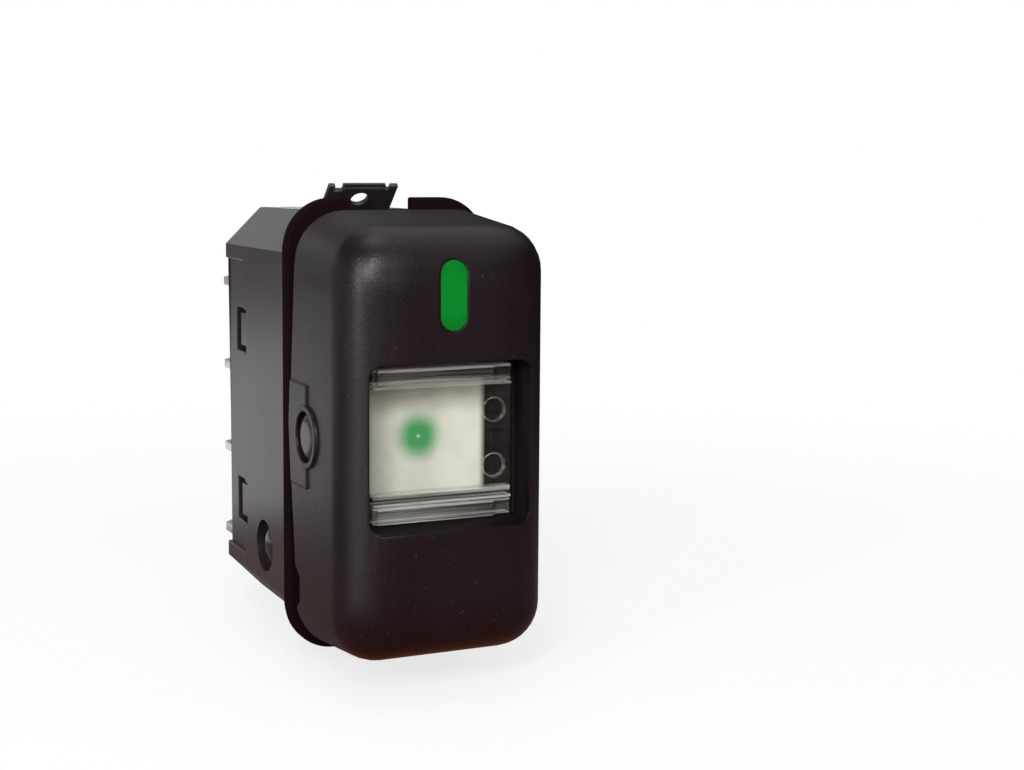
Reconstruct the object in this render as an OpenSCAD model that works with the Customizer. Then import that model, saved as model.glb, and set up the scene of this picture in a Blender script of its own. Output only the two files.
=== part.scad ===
// Auxiliary rocker switch for a dash panel: a moulded housing that snaps into the panel from the front,
// a three-position rocker cap with a legend window and a green indicator, and blade terminals at the back.
// Frame: +X to the right seen from the front, +Y into the panel, +Z up.
// The origin is the centre of the flange's back face, which rests on the panel. Millimetres.

/* [Housing] */
// Width of the body behind the panel
body_w = 17.0; // [16.6:0.1:18]
// Height of the body behind the panel
body_h = 34.0; // [33.6:0.1:36]
// Depth of the body behind the panel's front surface
body_depth = 16.3; // [15.8:0.1:19]
// Size of the four long corner chamfers
body_chamfer = 3.15; // [2.6:0.05:3.4]
// Thickness of the side walls at the back of the body
side_wall = 1.25; // [1.1:0.05:1.4]
// Overhang of the flange past each side of the body
flange_side_lip = 0.12; // [0.08:0.01:0.3]
// Overhang of the flange past the top and the bottom of the body
flange_end_lip = 1.15; // [0.8:0.05:2]
// Thickness of the flange and of the deck inside it
flange_t = 1.0; // [0.8:0.05:1.1]
// Corner radius of the flange
flange_r = 4.0; // [3:0.1:5]
// Reach of the upper release notch to the left of the middle
notch_left = 3.3; // [2.8:0.1:4]
// Reach of the upper release notch to the right of the middle
notch_right = 2.05; // [1.6:0.05:2.6]
// Depth of the sunk panel on each side wall
side_sink = 0.35; // [0.2:0.05:0.5]
// Distance of the sunk panel from the body's ends
side_sink_inset = 4.4; // [4:0.1:5.5]
// Where the sunk panel starts behind the flange
side_sink_y = 11.0; // [10.7:0.1:12]
// Diameter of the counterbore for each side stud
stud_bore_d = 4.3; // [3.6:0.1:5]
// Distance of the side studs behind the flange
stud_y = 5.5; // [4.5:0.1:6]
// Distance of the side studs from the body's ends
stud_inset = 6.2; // [5.9:0.1:7.5]

/* [Rocker cap] */
// Overhang of the cap past each side of the body
cap_side_lip = 0.1; // [0:0.02:0.3]
// How far each end of the cap lies inside the flange's end
cap_end_inset = 0.55; // [0.2:0.05:0.85]
// Narrowing of the cap's width from back to front
cap_draft_w = 0.24; // [0.1:0.02:0.5]
// Narrowing of the cap's height from back to front
cap_draft_h = 2.4; // [1.6:0.1:3]
// How far the cap's face stands in front of the panel
cap_reach = 14.0; // [13.6:0.1:15]
// Radius of the cap's outline corners
cap_corner_r = 4.0; // [3.6:0.1:4.4]
// Radius of the soft edge round the cap's face
cap_edge_r = 3.6; // [3:0.1:4]
// Wall thickness of the cap
cap_wall = 1.3; // [1.2:0.05:1.4]
// How far the pivot lies in front of the panel
pivot_reach = 5.45; // [5.2:0.05:5.8]
// Diameter of the pivot bosses
boss_d = 3.9; // [3.4:0.1:4]
// Radial running clearance of the pivots
pivot_gap = 0.05; // [0.03:0.01:0.08]
// Gap between the cap's back edge and the flange at pivot height
cap_gap = 0.5; // [0.4:0.05:0.7]
// Rocker throw each way, in degrees
throw = 6; // [4:0.5:6]

/* [Legend window and indicator] */
// Width of the face on each side of the window
window_margin = 1.93; // [1.8:0.01:2.2]
// Height of the window at the face
window_h = 12.6; // [12:0.1:13]
// Depth of the legend lens below the cap's face
window_bevel_d = 2.1; // [1.8:0.1:2.3]
// Width left open at the face on each side of the legend lens
lens_inset = 0.92; // [0.85:0.01:1.1]
// Height left open at the face above and below the legend lens
lens_end_inset = 0.5; // [0.4:0.05:0.7]
// Thickness of the legend lens plate
lens_t = 0.9; // [0.7:0.05:1.1]
// Height of the raised rails on the lens
rail_h = 1.15; // [0.9:0.05:1.4]
// How far the rails stand out of the lens
rail_t = 0.45; // [0.3:0.05:0.6]
// Distance from the lens's front down to the diffuser's front
diffuser_drop = 2.8; // [2.5:0.1:2.9]
// Width of the dark strip to the right of the white diffuser
strip_w = 0.83; // [0.6:0.01:1]
// Height left free above and below the white diffuser
diffuser_end_gap = 1.45; // [1.2:0.05:1.8]
// Width of the green indicator
indicator_w = 2.12; // [1.8:0.02:2.4]
// Length of the green indicator
indicator_l = 5.2; // [4.6:0.1:5.6]

/* [Terminals] */
// Width of the blade terminals
blade_w = 6.35; // [6.1:0.05:6.4]
// Thickness of the blade terminals
blade_t = 0.8; // [0.6:0.05:0.9]
// Length of blade behind the body
blade_l = 9.2; // [8:0.1:10]
// Distance of the outer blades from the end of the block
blade_margin = 1.67; // [1.5:0.01:1.75]
// How far each column is shifted off the middle
blade_stagger = 1.53; // [1.4:0.01:1.6]
// Distance of each column's blades from the side of the block
column_margin = 0.825; // [0.75:0.005:0.9]
// Length of the keying bar behind the body
key_l = 7.7; // [6:0.1:9]

/* [Panel clips] */
// Width of the spring clips
clip_w = 6.1; // [5.6:0.1:6.4]
// Thickness of the spring clips
clip_t = 0.4; // [0.3:0.05:0.45]
// How far each clip's tip stands off the body's end
clip_rise = 2.3; // [1.8:0.1:2.8]
// Distance of the clip's tip behind the flange
clip_tip_y = 4.6; // [4.2:0.1:5]
// Distance of the clip's bend behind the flange
clip_bend_y = 7.3; // [7:0.1:7.6]
// Diameter of the hole in each clip
clip_hole_d = 1.5; // [1:0.05:1.6]

/* [Contact works] */
// How far the plunger and the contacts lie outside the middle of the blades
works_shift = 0.35; // [0.25:0.05:0.45]
// Diameter of the plunger
plunger_d = 2.3; // [2.1:0.05:2.4]
// Outer diameter of the stem that holds the plunger
stem_d = 3.6; // [3.4:0.05:3.7]
// Distance of the fulcrum behind the flange
fulcrum_y = 5.2; // [5:0.05:5.3]
// Gap left between closed contacts
contact_gap = 0.07; // [0.05:0.01:0.12]
// Diameter of the plunger spring's wire
spring_wire = 0.3; // [0.25:0.01:0.35]

/* [Hidden] */
$fn = 48;

// A little more than nothing, so that cuts pass clean through
eps = 0.5;
// Slip clearance between fixed pieces
slip = 0.04;

// Colours as the pieces look
c_black = "#1b1a1c";
c_mint = "#b9cfbf";
c_tin = "#b9b8b2";
c_steel = "#2a2826";
c_brass = "#b08d4f";
c_silver = "#d8d8d6";

// Housing: outline, cavity and ledge
flange_w = body_w + 2 * flange_side_lip;
flange_h = body_h + 2 * flange_end_lip;
block_y = 9.0;
cavity_w = body_w - 2 * side_wall;
cavity_h = body_h - 4.5;
cavity_chamfer = 1.2;
ledge = 0.5;
tongue_w = 9.4;
notch_floor = body_h / 2 + 0.18;
side_sink_half_h = body_h / 2 - side_sink_inset;

// Housing: side studs and snap fingers, given on the left side, and turned half round for the right
stud_z = body_h / 2 - stud_inset;
stud_sink = 0.7;
stud_shank_d = 1.9;
finger_zs = [6.6, -8.3];
finger_h = 2.9;
finger_gap = 0.4;
finger_end_gap = 0.7;
finger_y0 = block_y + 1.4;
finger_y1 = block_y + 4.4;
finger_sink = 0.12;
hook_l = 0.8;
hook_rise = 0.35;
hook_h = finger_h - 1;

// Rocker: pivot, ears and back edge
cap_w = body_w + 2 * cap_side_lip;
cap_h = flange_h - 2 * cap_end_inset;
pivot_y = -pivot_reach;
cap_back = -(flange_t + cap_gap);
cap_face = -cap_reach;
cap_front_w = cap_w - cap_draft_w;
cap_front_h = cap_h - cap_draft_h;
cap_in_w = cap_w - 2 * cap_wall;
ear_gap = 0.3;
ear_out = cap_in_w / 2 - ear_gap;
ear_t = 1.1;
ear_r = boss_d / 2 + 0.35;
pad_rise = 0.07;
boss_end = cap_w / 2 + pad_rise - 0.02;
boss_fall = 0.36;
pad_half_h = 4.0;
pad_front_y = pivot_y - 0.2;
ring_r = boss_d / 2 + 0.5;
ring_rise = 0.05;
pry_z = cap_h / 2 - 5.4;
pry_y = cap_back - 2.25;

// Window: lens, diffuser, pocket and indicator
window_w = cap_front_w - 2 * window_margin;
lens_w = window_w - 2 * lens_inset;
lens_h = window_h - 2 * lens_end_inset;
diffuser_right = lens_w / 2 - strip_w;
diffuser_h = lens_h - 2 * diffuser_end_gap;
lens_y = cap_face + window_bevel_d;
diffuser_y = lens_y + diffuser_drop;
diffuser_t = 0.5;
pocket_floor = diffuser_y + diffuser_t;
pocket_back = pocket_floor + 0.5;
pocket_w = lens_w + 2 * slip;
pocket_h = lens_h + 2 * slip;
channel_w = window_w - 0.6;
channel_y = lens_y + 0.6;
window_r = 1.2;
stub_d = 1.8;
stub_l = 0.3;
stub_x = lens_w / 2 - stub_d / 2 - 0.03;
stub_z = 2.15;
ridge_z = diffuser_h / 2;
ridge_h = 0.3;
ridge_t = 0.15;
front_wall = 1.5;
indicator_z = (window_h + cap_front_h) / 4 - 0.1;
indicator_flange = 0.7;

// Blade positions, and the works in line with the left column
blade_pitch = (cavity_h / 2 - blade_margin - blade_stagger) / 1.5;
column_x = cavity_w / 2 - blade_w / 2 - column_margin;
works_x = -column_x - works_shift;
contact_z = blade_pitch;

// Contact works along Y: see-saw plate, fixed contacts, pads
saw_t = 0.8;
saw_drop = 0.55;
saw_back = fulcrum_y - saw_drop;
saw_front = saw_back - saw_t;
saw_w = 3.2;
cheek_t = 0.4;
dome_r = 3.0;
head_r = 1.15;
head_t = 0.45;
dome_h = 0.3;
dome_y = saw_back + head_t + dome_h;
dome_centre = dome_y - dome_r;
closed_y = fulcrum_y + (dome_centre - fulcrum_y) * cos(throw) + contact_z * sin(throw) + dome_r;
fixed_y = closed_y + contact_gap;
fixed_t = 0.55;
pad_y = fixed_y + fixed_t;
pad_t = 0.8;
pad_w = 3.0;
fulcrum_r = 0.45;
fulcrum_gap = 0.05;

// Plunger, stem and spring
stem_end = 0.5;
bore_r = plunger_d / 2 + 0.05;
bore_end = pocket_back + 1.2;
plunger_tip = saw_front - 0.1;
plunger_top = bore_end + 3.6;
deck_slot_h = 2 * ((stem_end - pivot_y) * sin(6) + stem_d / 2 + 0.4);
deck_slot_w = stem_d + 0.6;

// Terminals
seat_y = block_y + 5.3;
blade_tip = body_depth + blade_l;
upper_z = 1.5 * blade_pitch - blade_stagger;
common_z = 0.5 * blade_pitch - blade_stagger;
lower_z = -0.5 * blade_pitch - blade_stagger;
feed_z = -1.5 * blade_pitch - blade_stagger;
return_z = -upper_z;
neck_w = 2.4;
leg_w = 1.2;
tip_chamfer = 1.3;
detent_y = blade_tip - 4.4;
detent_r = 0.9;

// Keying bar
key_x0 = -0.25;
key_x1 = 5.2;
key_top = feed_z - blade_t / 2 - 0.17;
key_bottom = 1.7 - body_h / 2;
key_step = key_bottom + 0.55;

// Lamp board
board_y1 = -(flange_t + 0.4);
board_t = 0.8;
board_y0 = board_y1 - board_t;
board_w = 2 * (ear_out - ear_t - 0.4);
board_h = cap_h - 6.8;
lamp_x = works_x + 3.85;
lamp_r = 1.25;
boot_r = 1.5;
lamp_tip = pocket_back + 0.6;
peg_x = board_w / 2 - 1.1;
peg_z = 6.6;
leg_end = board_y0 - 0.4;

// Clips
clip_leg_z = body_h / 2 - 0.2;
clip_leg_end = block_y + 5.2;
clip_peg_y = block_y + 3.0;
clip_hole_at = 2.1;
clip_lip = 0.3;

// Helpers: solids given by their limits or along an axis
module box(x0, x1, y0, y1, z0, z1) {
    translate([x0, y0, z0]) cube([x1 - x0, y1 - y0, z1 - z0]);
}

module along_x(r, x0, x1, y, z) {
    translate([x0, y, z]) rotate([0, 90, 0]) cylinder(h = x1 - x0, r = r);
}

module along_y(r, y0, y1, x, z) {
    translate([x, y0, z]) rotate([-90, 0, 0]) cylinder(h = y1 - y0, r = r);
}

// A front-view outline (x, z) pushed from y0 to y1
module push_y(y0, y1) {
    translate([0, y1, 0]) rotate([90, 0, 0]) linear_extrude(y1 - y0) children();
}

// A side-view outline (y, z) pushed from x0 to x1
module push_x(x0, x1) {
    translate([x0, 0, 0]) rotate([90, 0, 90]) linear_extrude(x1 - x0) children();
}

// A plan-view outline (x, y) pushed from z0 to z1
module push_z(z0, z1) {
    translate([0, 0, z0]) linear_extrude(z1 - z0) children();
}

module chamfer_rect(w, h, c) {
    polygon([
        [c - w / 2, -h / 2], [w / 2 - c, -h / 2], [w / 2, c - h / 2], [w / 2, h / 2 - c],
        [w / 2 - c, h / 2], [c - w / 2, h / 2], [-w / 2, h / 2 - c], [-w / 2, c - h / 2]
    ]);
}

module round_rect(w, h, r) {
    square([w - 2 * r, h], center = true);
    square([w, h - 2 * r], center = true);
    for (x = [-1, 1], z = [-1, 1]) translate([x * (w / 2 - r), z * (h / 2 - r)]) circle(r);
}

module stadium(w, l) {
    square([w, l - w], center = true);
    for (z = [-1, 1]) translate([0, z * (l - w) / 2]) circle(w / 2);
}

// Both halves of a shape that repeats when the switch is turned half round about its own axis
module twofold() {
    children();
    rotate([0, 180, 0]) children();
}

// Housing
module pivot_ear() {
    push_x(ear_out - ear_t, ear_out) {
        translate([pivot_y, 0]) circle(ear_r);
        translate([pivot_y, -ear_r]) square([-pivot_y - flange_t / 2, 2 * ear_r]);
    }
    // Boss with an end that falls away towards its edge
    boss_r = boss_d / 2;
    translate([0, pivot_y, 0]) rotate([0, 90, 0]) rotate_extrude() polygon([
        [0, ear_out - 0.2], [boss_r, ear_out - 0.2], [boss_r, boss_end - boss_fall],
        [boss_r - 0.35, boss_end - 0.12], [boss_r - 1, boss_end], [0, boss_end]
    ]);
}

module housing_body() {
    push_y(-flange_t / 2, body_depth) chamfer_rect(body_w, body_h, body_chamfer);
    difference() {
        push_y(-flange_t, 0) round_rect(flange_w, flange_h, flange_r);
        twofold() box(-notch_left, notch_right, -flange_t - eps, eps, notch_floor, flange_h);
    }
    twofold() pivot_ear();
    for (x = [-1, 1], z = [-1, 1]) {
        along_y(0.9, board_y1, -flange_t / 2, x * peg_x, z * peg_z);
        along_y(0.5, board_y0 - 0.3, board_y1 + 0.1, x * peg_x, z * peg_z);
    }
}

// Slot round a snap finger, which stays on at its front end
module finger_slot(z) {
    reach = finger_h / 2 + finger_gap;
    difference() {
        box(-body_w, 1 - cavity_w / 2, finger_y0, finger_y1 + finger_end_gap, z - reach, z + reach);
        box(side_sink + finger_sink - body_w / 2, 2 - cavity_w / 2, finger_y0 - eps, finger_y1,
            z - finger_h / 2, z + finger_h / 2);
    }
}

// Hook inside a snap finger's free end, square towards the front and sloped for the block to slide past
module finger_hook(z) {
    root = -cavity_w / 2;
    front = finger_y1 - hook_l;
    push_z(z - hook_h / 2, z + hook_h / 2) polygon([
        [root - 0.2, front], [root + hook_rise, front], [root + hook_rise, front + 0.2],
        [root, finger_y1], [root - 0.2, finger_y1]
    ]);
}

module housing_cuts() {
    // Cavity: a narrower front room, and the room for the terminal block behind its ledge
    push_y(0, block_y + eps) chamfer_rect(cavity_w - 2 * ledge, cavity_h - 2 * ledge, cavity_chamfer);
    push_y(block_y, body_depth + eps) chamfer_rect(cavity_w, cavity_h, cavity_chamfer);
    twofold() {
        // Room for the block's tongue and for the clip's bend in the end wall
        box(-tongue_w / 2, tongue_w / 2, block_y, body_depth + eps, body_h / 2 - 4, body_h);
        box(-clip_w / 2 - 0.15, clip_w / 2 + 0.15, clip_bend_y - 1.2, block_y + eps,
            clip_leg_z - clip_t - 0.3, body_h);
        // Sunk side panel, and the slots round the snap fingers
        box(-body_w, side_sink - body_w / 2, side_sink_y, body_depth + eps, -side_sink_half_h, side_sink_half_h);
        for (z = finger_zs) finger_slot(z);
        // Counterbored hole for the side stud
        along_x(stud_bore_d / 2, -body_w, stud_sink - body_w / 2, stud_y, -stud_z);
        along_x(stud_shank_d / 2 + slip, -body_w, 2 - body_w / 2, stud_y, -stud_z);
    }
    // Deck openings for the plunger stem and the two lamp legs
    box(works_x - deck_slot_w / 2, works_x + deck_slot_w / 2, -flange_t - eps, eps,
        -deck_slot_h / 2, deck_slot_h / 2);
    for (p = [[-column_x, feed_z], [column_x, return_z]])
        box(p[0] - leg_w / 2 - 0.2, p[0] + leg_w / 2 + 0.2, -flange_t - eps, eps,
            p[1] - blade_t / 2 - 0.2, p[1] + blade_t / 2 + 0.2);
}

module housing() {
    color(c_black) {
        difference() {
            housing_body();
            housing_cuts();
        }
        twofold() for (z = finger_zs) finger_hook(z);
    }
}

// Rocker cap: a soft-edged shell
module cap_form(inset, front) {
    rear_r = cap_corner_r - inset;
    edge_r = cap_edge_r - inset;
    hull() {
        for (x = [-1, 1], z = [-1, 1]) {
            translate([x * (cap_w / 2 - cap_corner_r), 0, z * (cap_h / 2 - cap_corner_r)])
                rotate([90, 0, 0]) cylinder(h = 0.2, r = rear_r, $fn = 32);
            translate([x * (cap_front_w / 2 - cap_edge_r), front + edge_r, z * (cap_front_h / 2 - cap_edge_r)])
                rotate([90, 0, 0]) sphere(edge_r, $fn = 32);
        }
    }
}

// Everything behind the shallow V of the cap's back edge
module behind_back_edge() {
    reach = cap_h;
    push_x(-cap_w, cap_w) polygon([
        [cap_back, 0], [cap_back - reach * tan(5.9), reach], [eps, reach], [eps, -reach],
        [cap_back - reach * tan(5.9), -reach]
    ]);
}

// Window with a narrow channel on both sides of the lens, which sits in the pocket below
module window_cut() {
    hull() {
        push_y(channel_y - 0.02, channel_y) square([channel_w, pocket_h], center = true);
        push_y(cap_face - 0.02, cap_face) round_rect(window_w, window_h, window_r);
    }
    push_y(cap_face - eps, cap_face) round_rect(window_w, window_h, window_r);
    push_y(lens_y - 0.02, pocket_floor) square([pocket_w, pocket_h], center = true);
}

// Low pad on each side wall round the pivot, with a ring standing on it
module pivot_pad() {
    push_x(cap_w / 2 - 0.4, cap_w / 2 + pad_rise)
        translate([pad_front_y, -pad_half_h]) square([-pad_front_y, 2 * pad_half_h]);
    along_x(ring_r, cap_w / 2 - 0.4, cap_w / 2 + pad_rise + ring_rise, pivot_y, 0);
}

// Notch in the cap's back edge for lifting it off, low on the left side and high on the right
module pry_notch() {
    push_x(-cap_w, 0.3 - cap_in_w / 2) polygon([
        [eps, 3.2 - pry_z], [pry_y, 1 - pry_z], [pry_y, -1.1 - pry_z], [eps, -4.1 - pry_z]
    ]);
}

module rocker_cap() {
    color(c_black) difference() {
        union() {
            difference() {
                union() {
                    cap_form(0, cap_face);
                    twofold() pivot_pad();
                }
                cap_form(cap_wall, cap_face + front_wall);
                behind_back_edge();
                twofold() pry_notch();
            }
            intersection() {
                cap_form(0.3, cap_face + 0.3);
                box(-cap_w, cap_w, cap_face, pocket_back, -pocket_h / 2 - 0.9, pocket_h / 2 + 0.9);
            }
            along_y(stem_d / 2, pocket_back - 0.2, stem_end, works_x, 0);
        }
        window_cut();
        along_y(1.7, pocket_floor - eps, pocket_back + eps, lamp_x, 0);
        along_y(bore_r, bore_end, stem_end + eps, works_x, 0);
        twofold() along_x(boss_d / 2 + pivot_gap, ear_out, cap_w, pivot_y, 0);
        push_y(cap_face - eps, cap_face + front_wall + eps)
            translate([0, indicator_z]) stadium(indicator_w + 2 * slip, indicator_l + 2 * slip);
    }
}

module indicator_lens() {
    color("#0b8a34") {
        intersection() {
            push_y(cap_face, cap_face + front_wall + 0.1)
                translate([0, indicator_z]) stadium(indicator_w, indicator_l);
            cap_form(0.02, cap_face + 0.02);
        }
        intersection() {
            push_y(cap_face + front_wall, cap_face + front_wall + indicator_flange)
                translate([0, indicator_z - 0.3]) stadium(indicator_w + 1.2, indicator_l + 0.6);
            cap_form(cap_wall, cap_face + front_wall);
        }
    }
}

module legend_lens() {
    color([0.86, 0.9, 0.88, 0.45]) {
        box(-lens_w / 2, lens_w / 2, lens_y, lens_y + lens_t, -lens_h / 2, lens_h / 2);
        for (s = [-1, 1])
            push_z(s * (lens_h - rail_h) / 2 - rail_h / 2, s * (lens_h - rail_h) / 2 + rail_h / 2)
                polygon([
                    [0.25 - lens_w / 2, lens_y + 0.1], [0.25 - lens_w / 2, lens_y - rail_t],
                    [lens_w / 2 - 1.6, lens_y - rail_t], [lens_w / 2 - 1.1, lens_y + 0.1]
                ]);
        // Thin ridge beside each rail, and a round moulding stub behind the lens
        for (s = [-1, 1]) {
            box(-lens_w / 2, lens_w / 2, lens_y - ridge_t, lens_y + 0.1,
                s * ridge_z - ridge_h / 2, s * ridge_z + ridge_h / 2);
            along_y(stub_d / 2, lens_y + lens_t - 0.1, lens_y + lens_t + stub_l, stub_x, s * stub_z);
        }
    }
}

module legend_diffuser() {
    color("#dcdcc9")
        box(-lens_w / 2, diffuser_right, diffuser_y, pocket_floor, -diffuser_h / 2, diffuser_h / 2);
}

// Terminal block
module terminal_slot(x, z) {
    box(x - blade_w / 2 - slip, x + blade_w / 2 + slip, seat_y, body_depth + eps,
        z - blade_t / 2 - slip, z + blade_t / 2 + slip);
}

module neck_slot(x, w, z) {
    box(x - w / 2 - slip, x + w / 2 + slip, block_y - eps, seat_y + eps,
        z - blade_t / 2 - slip, z + blade_t / 2 + slip);
}

// Flare at the outer end of each slot
module slot_flare(side, z) {
    edge = cavity_w / 2 - 0.1;
    push_y(body_depth - 2.2, body_depth + eps)
        polygon([[side * (edge - 1.1), z], [side * edge, z - 0.75], [side * edge, z + 0.75]]);
}

// Pocket that a snap finger's hook drops into
module hook_pocket(z) {
    reach = hook_h / 2 + slip;
    box(-cavity_w, hook_rise + slip - cavity_w / 2, finger_y1 - hook_l - slip, finger_y1 + slip,
        z - reach, z + reach);
}

module keying_bar() {
    push_y(body_depth - 1, body_depth + key_l) polygon([
        [key_x0, key_top], [key_x1, key_top], [key_x1, key_step],
        [key_x1 - 1.3, key_step], [key_x1 - 1.7, key_bottom], [key_x0, key_bottom]
    ]);
}

module terminal_block() {
    color(c_mint) difference() {
        union() {
            push_y(block_y, body_depth)
                chamfer_rect(cavity_w - 2 * slip, cavity_h - 2 * slip, cavity_chamfer);
            twofold()
                box(slip - tongue_w / 2, tongue_w / 2 - slip, block_y, body_depth, body_h / 2 - 4, body_h / 2);
            keying_bar();
        }
        twofold() {
            // Seat for the clip's leg, with the peg that holds it
            difference() {
                box(-clip_w / 2 - slip, clip_w / 2 + slip, block_y - eps, clip_leg_end + slip,
                    clip_leg_z - clip_t, body_h);
                translate([0, clip_peg_y, 0]) cylinder(h = body_h, r = 0.8);
            }
            for (z = finger_zs) hook_pocket(z);
        }
        for (i = [-1.5 : 1.5]) {
            terminal_slot(-column_x, i * blade_pitch - blade_stagger);
            slot_flare(-1, i * blade_pitch - blade_stagger);
            terminal_slot(column_x, i * blade_pitch + blade_stagger);
            slot_flare(1, i * blade_pitch + blade_stagger);
        }
        for (z = [upper_z, common_z, lower_z]) neck_slot(works_x, neck_w, z);
        neck_slot(-column_x, leg_w, feed_z);
        neck_slot(column_x, leg_w, return_z);
    }
}

// Blade with its corners taken off and a round detent hole
module blade(x, z) {
    difference() {
        push_z(z - blade_t / 2, z + blade_t / 2) polygon([
            [x - blade_w / 2, seat_y], [x + blade_w / 2, seat_y],
            [x + blade_w / 2, blade_tip - tip_chamfer], [x + blade_w / 2 - tip_chamfer, blade_tip],
            [x - blade_w / 2 + tip_chamfer, blade_tip], [x - blade_w / 2, blade_tip - tip_chamfer]
        ]);
        translate([x, detent_y, z - 1]) cylinder(h = 2, r = detent_r);
    }
}

// Blade with a neck through the block and a pad bent down in front of it
module contact_terminal(z, pad_z0) {
    blade(-column_x, z);
    box(works_x - neck_w / 2, works_x + neck_w / 2, pad_y + pad_t / 2, seat_y + 0.2,
        z - blade_t / 2, z + blade_t / 2);
    box(works_x - pad_w / 2, works_x + pad_w / 2, pad_y, pad_y + pad_t, pad_z0, z + blade_t / 2);
}

module terminal_upper() {
    color(c_tin) difference() {
        contact_terminal(upper_z, contact_z - 1.5);
        along_y(0.7, pad_y - eps, pad_y + pad_t + eps, works_x, contact_z);
    }
}

module terminal_lower() {
    color(c_tin) difference() {
        contact_terminal(lower_z, -contact_z - 1.5);
        along_y(0.7, pad_y - eps, pad_y + pad_t + eps, works_x, -contact_z);
    }
}

// Common terminal: its pad carries a post with a round fulcrum for the see-saw
module terminal_common() {
    color(c_tin) {
        contact_terminal(common_z, -1.2);
        box(works_x - pad_w / 2, works_x + pad_w / 2, fulcrum_y, pad_y + 0.2, -0.4, 0.4);
        along_x(fulcrum_r, works_x - saw_w / 2 - cheek_t - 0.1, works_x + saw_w / 2 + cheek_t + 0.1, fulcrum_y, 0);
    }
}

// Lamp terminals: a slim leg runs forward to the lamp board
module lamp_terminal(x, z) {
    blade(x, z);
    box(x - leg_w / 2, x + leg_w / 2, leg_end, seat_y + 0.2, z - blade_t / 2, z + blade_t / 2);
}

module terminal_lamp_feed() {
    color(c_tin) lamp_terminal(-column_x, feed_z);
}

module terminal_lamp_return() {
    color(c_tin) lamp_terminal(column_x, return_z);
}

// Spring clip: a leg on the block's tongue, bent up and forward to a barbed end
module clip_shape() {
    tip_z = body_h / 2 + clip_rise;
    leg_z0 = clip_leg_z - clip_t;
    slope = atan2(tip_z - clip_leg_z, clip_bend_y - clip_tip_y);
    run = norm([tip_z - clip_leg_z, clip_bend_y - clip_tip_y]);
    difference() {
        union() {
            box(-clip_w / 2, clip_w / 2, clip_bend_y, clip_leg_end, leg_z0, clip_leg_z);
            translate([0, clip_bend_y, clip_leg_z - clip_t / 2]) {
                along_x(clip_t / 2, -clip_w / 2, clip_w / 2, 0, 0);
                rotate([-slope, 0, 0]) box(-clip_w / 2, clip_w / 2, -run, 0, -clip_t / 2, clip_t / 2);
                // Lip of the middle tooth, bent back over the blade
                rotate([-slope, 0, 0]) translate([0, 0.35 - run, 0]) rotate([-35, 0, 0])
                    box(-1.72, 1.92, -clip_lip, 0.1, -clip_t / 2, clip_t / 2);
            }
        }
        translate([0, clip_bend_y, clip_leg_z - clip_t / 2]) rotate([-slope, 0, 0]) {
            translate([0, -clip_hole_at, -2]) cylinder(h = 4, r = clip_hole_d / 2);
            box(-2.5, -1.75, -run - 1, 0.6 - run, -3, 3);
            box(1.95, 2.35, -run - 1, 0.45 - run, -3, 3);
            box(-1.74, 1.94, -run - 0.2, 0.3 - run, -0.5, clip_t / 2 - 0.5 * clip_t + 0.02);
        }
        translate([0, clip_peg_y, 0]) cylinder(h = body_h, r = 0.8 + slip);
    }
}

module top_clip() {
    color(c_steel) clip_shape();
}

module bottom_clip() {
    color(c_steel) rotate([0, 180, 0]) clip_shape();
}

// Sprung plunger in the cap's stem
module plunger() {
    r = plunger_d / 2;
    color("#d9d4c4") translate([works_x, 0, 0]) rotate([-90, 0, 0]) rotate_extrude() {
        translate([0, plunger_top]) square([r, plunger_tip - 1.2 - plunger_top]);
        intersection() {
            translate([0, plunger_tip - r]) circle(r);
            translate([0, plunger_tip - 1.25]) square([r, 1.3]);
        }
    }
}

// One ring of the spring's wire at a point of the helix
function coil_point(a, r, pitch) = [r * cos(a), r * sin(a), pitch * a / 360];
function coil_ring(a, r, pitch, w) = [
    for (k = [0 : 7])
        coil_point(a, r, pitch) + w / 2 * (cos(45 * k) * [cos(a), sin(a), 0] + sin(45 * k) * [0, 0, 1])
];

module plunger_spring() {
    turns = 5;
    steps = 18;
    r = plunger_d / 2 - 0.1 - spring_wire / 2;
    span = plunger_top - bore_end - spring_wire - 0.02;
    n = turns * steps;
    rings = [for (i = [0 : n]) coil_ring(360 * i / steps, r, span / turns, spring_wire)];
    points = [for (ring = rings) each ring];
    sides = [for (i = [0 : n - 1], k = [0 : 7]) [i * 8 + k, i * 8 + (k + 1) % 8, i * 8 + 8 + (k + 1) % 8, i * 8 + 8 + k]];
    ends = [[for (k = [7 : -1 : 0]) k], [for (k = [0 : 7]) n * 8 + k]];
    color("#9a9a96") translate([works_x, bore_end + spring_wire / 2 + 0.01, 0]) rotate([-90, 0, 0])
        polyhedron(points, concat(sides, ends), convexity = 10);
}

// See-saw that carries the moving contacts
module contact_rocker() {
    color(c_brass) difference() {
        union() {
            box(works_x - saw_w / 2, works_x + saw_w / 2, saw_front, saw_back, -contact_z - 1.5, contact_z + 1.5);
            for (s = [-1, 1])
                translate([works_x + s * (saw_w + cheek_t) / 2, 0, 0]) push_x(-cheek_t / 2, cheek_t / 2) {
                    translate([fulcrum_y, 0]) circle(1.15);
                    translate([saw_front, -1.15]) square([fulcrum_y - saw_front, 2.3]);
                }
        }
        along_x(fulcrum_r + fulcrum_gap, works_x - saw_w, works_x + saw_w, fulcrum_y, 0);
        for (z = [-1, 1]) along_y(0.6 + slip, saw_front - eps, saw_back + eps, works_x, z * contact_z);
    }
}

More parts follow.
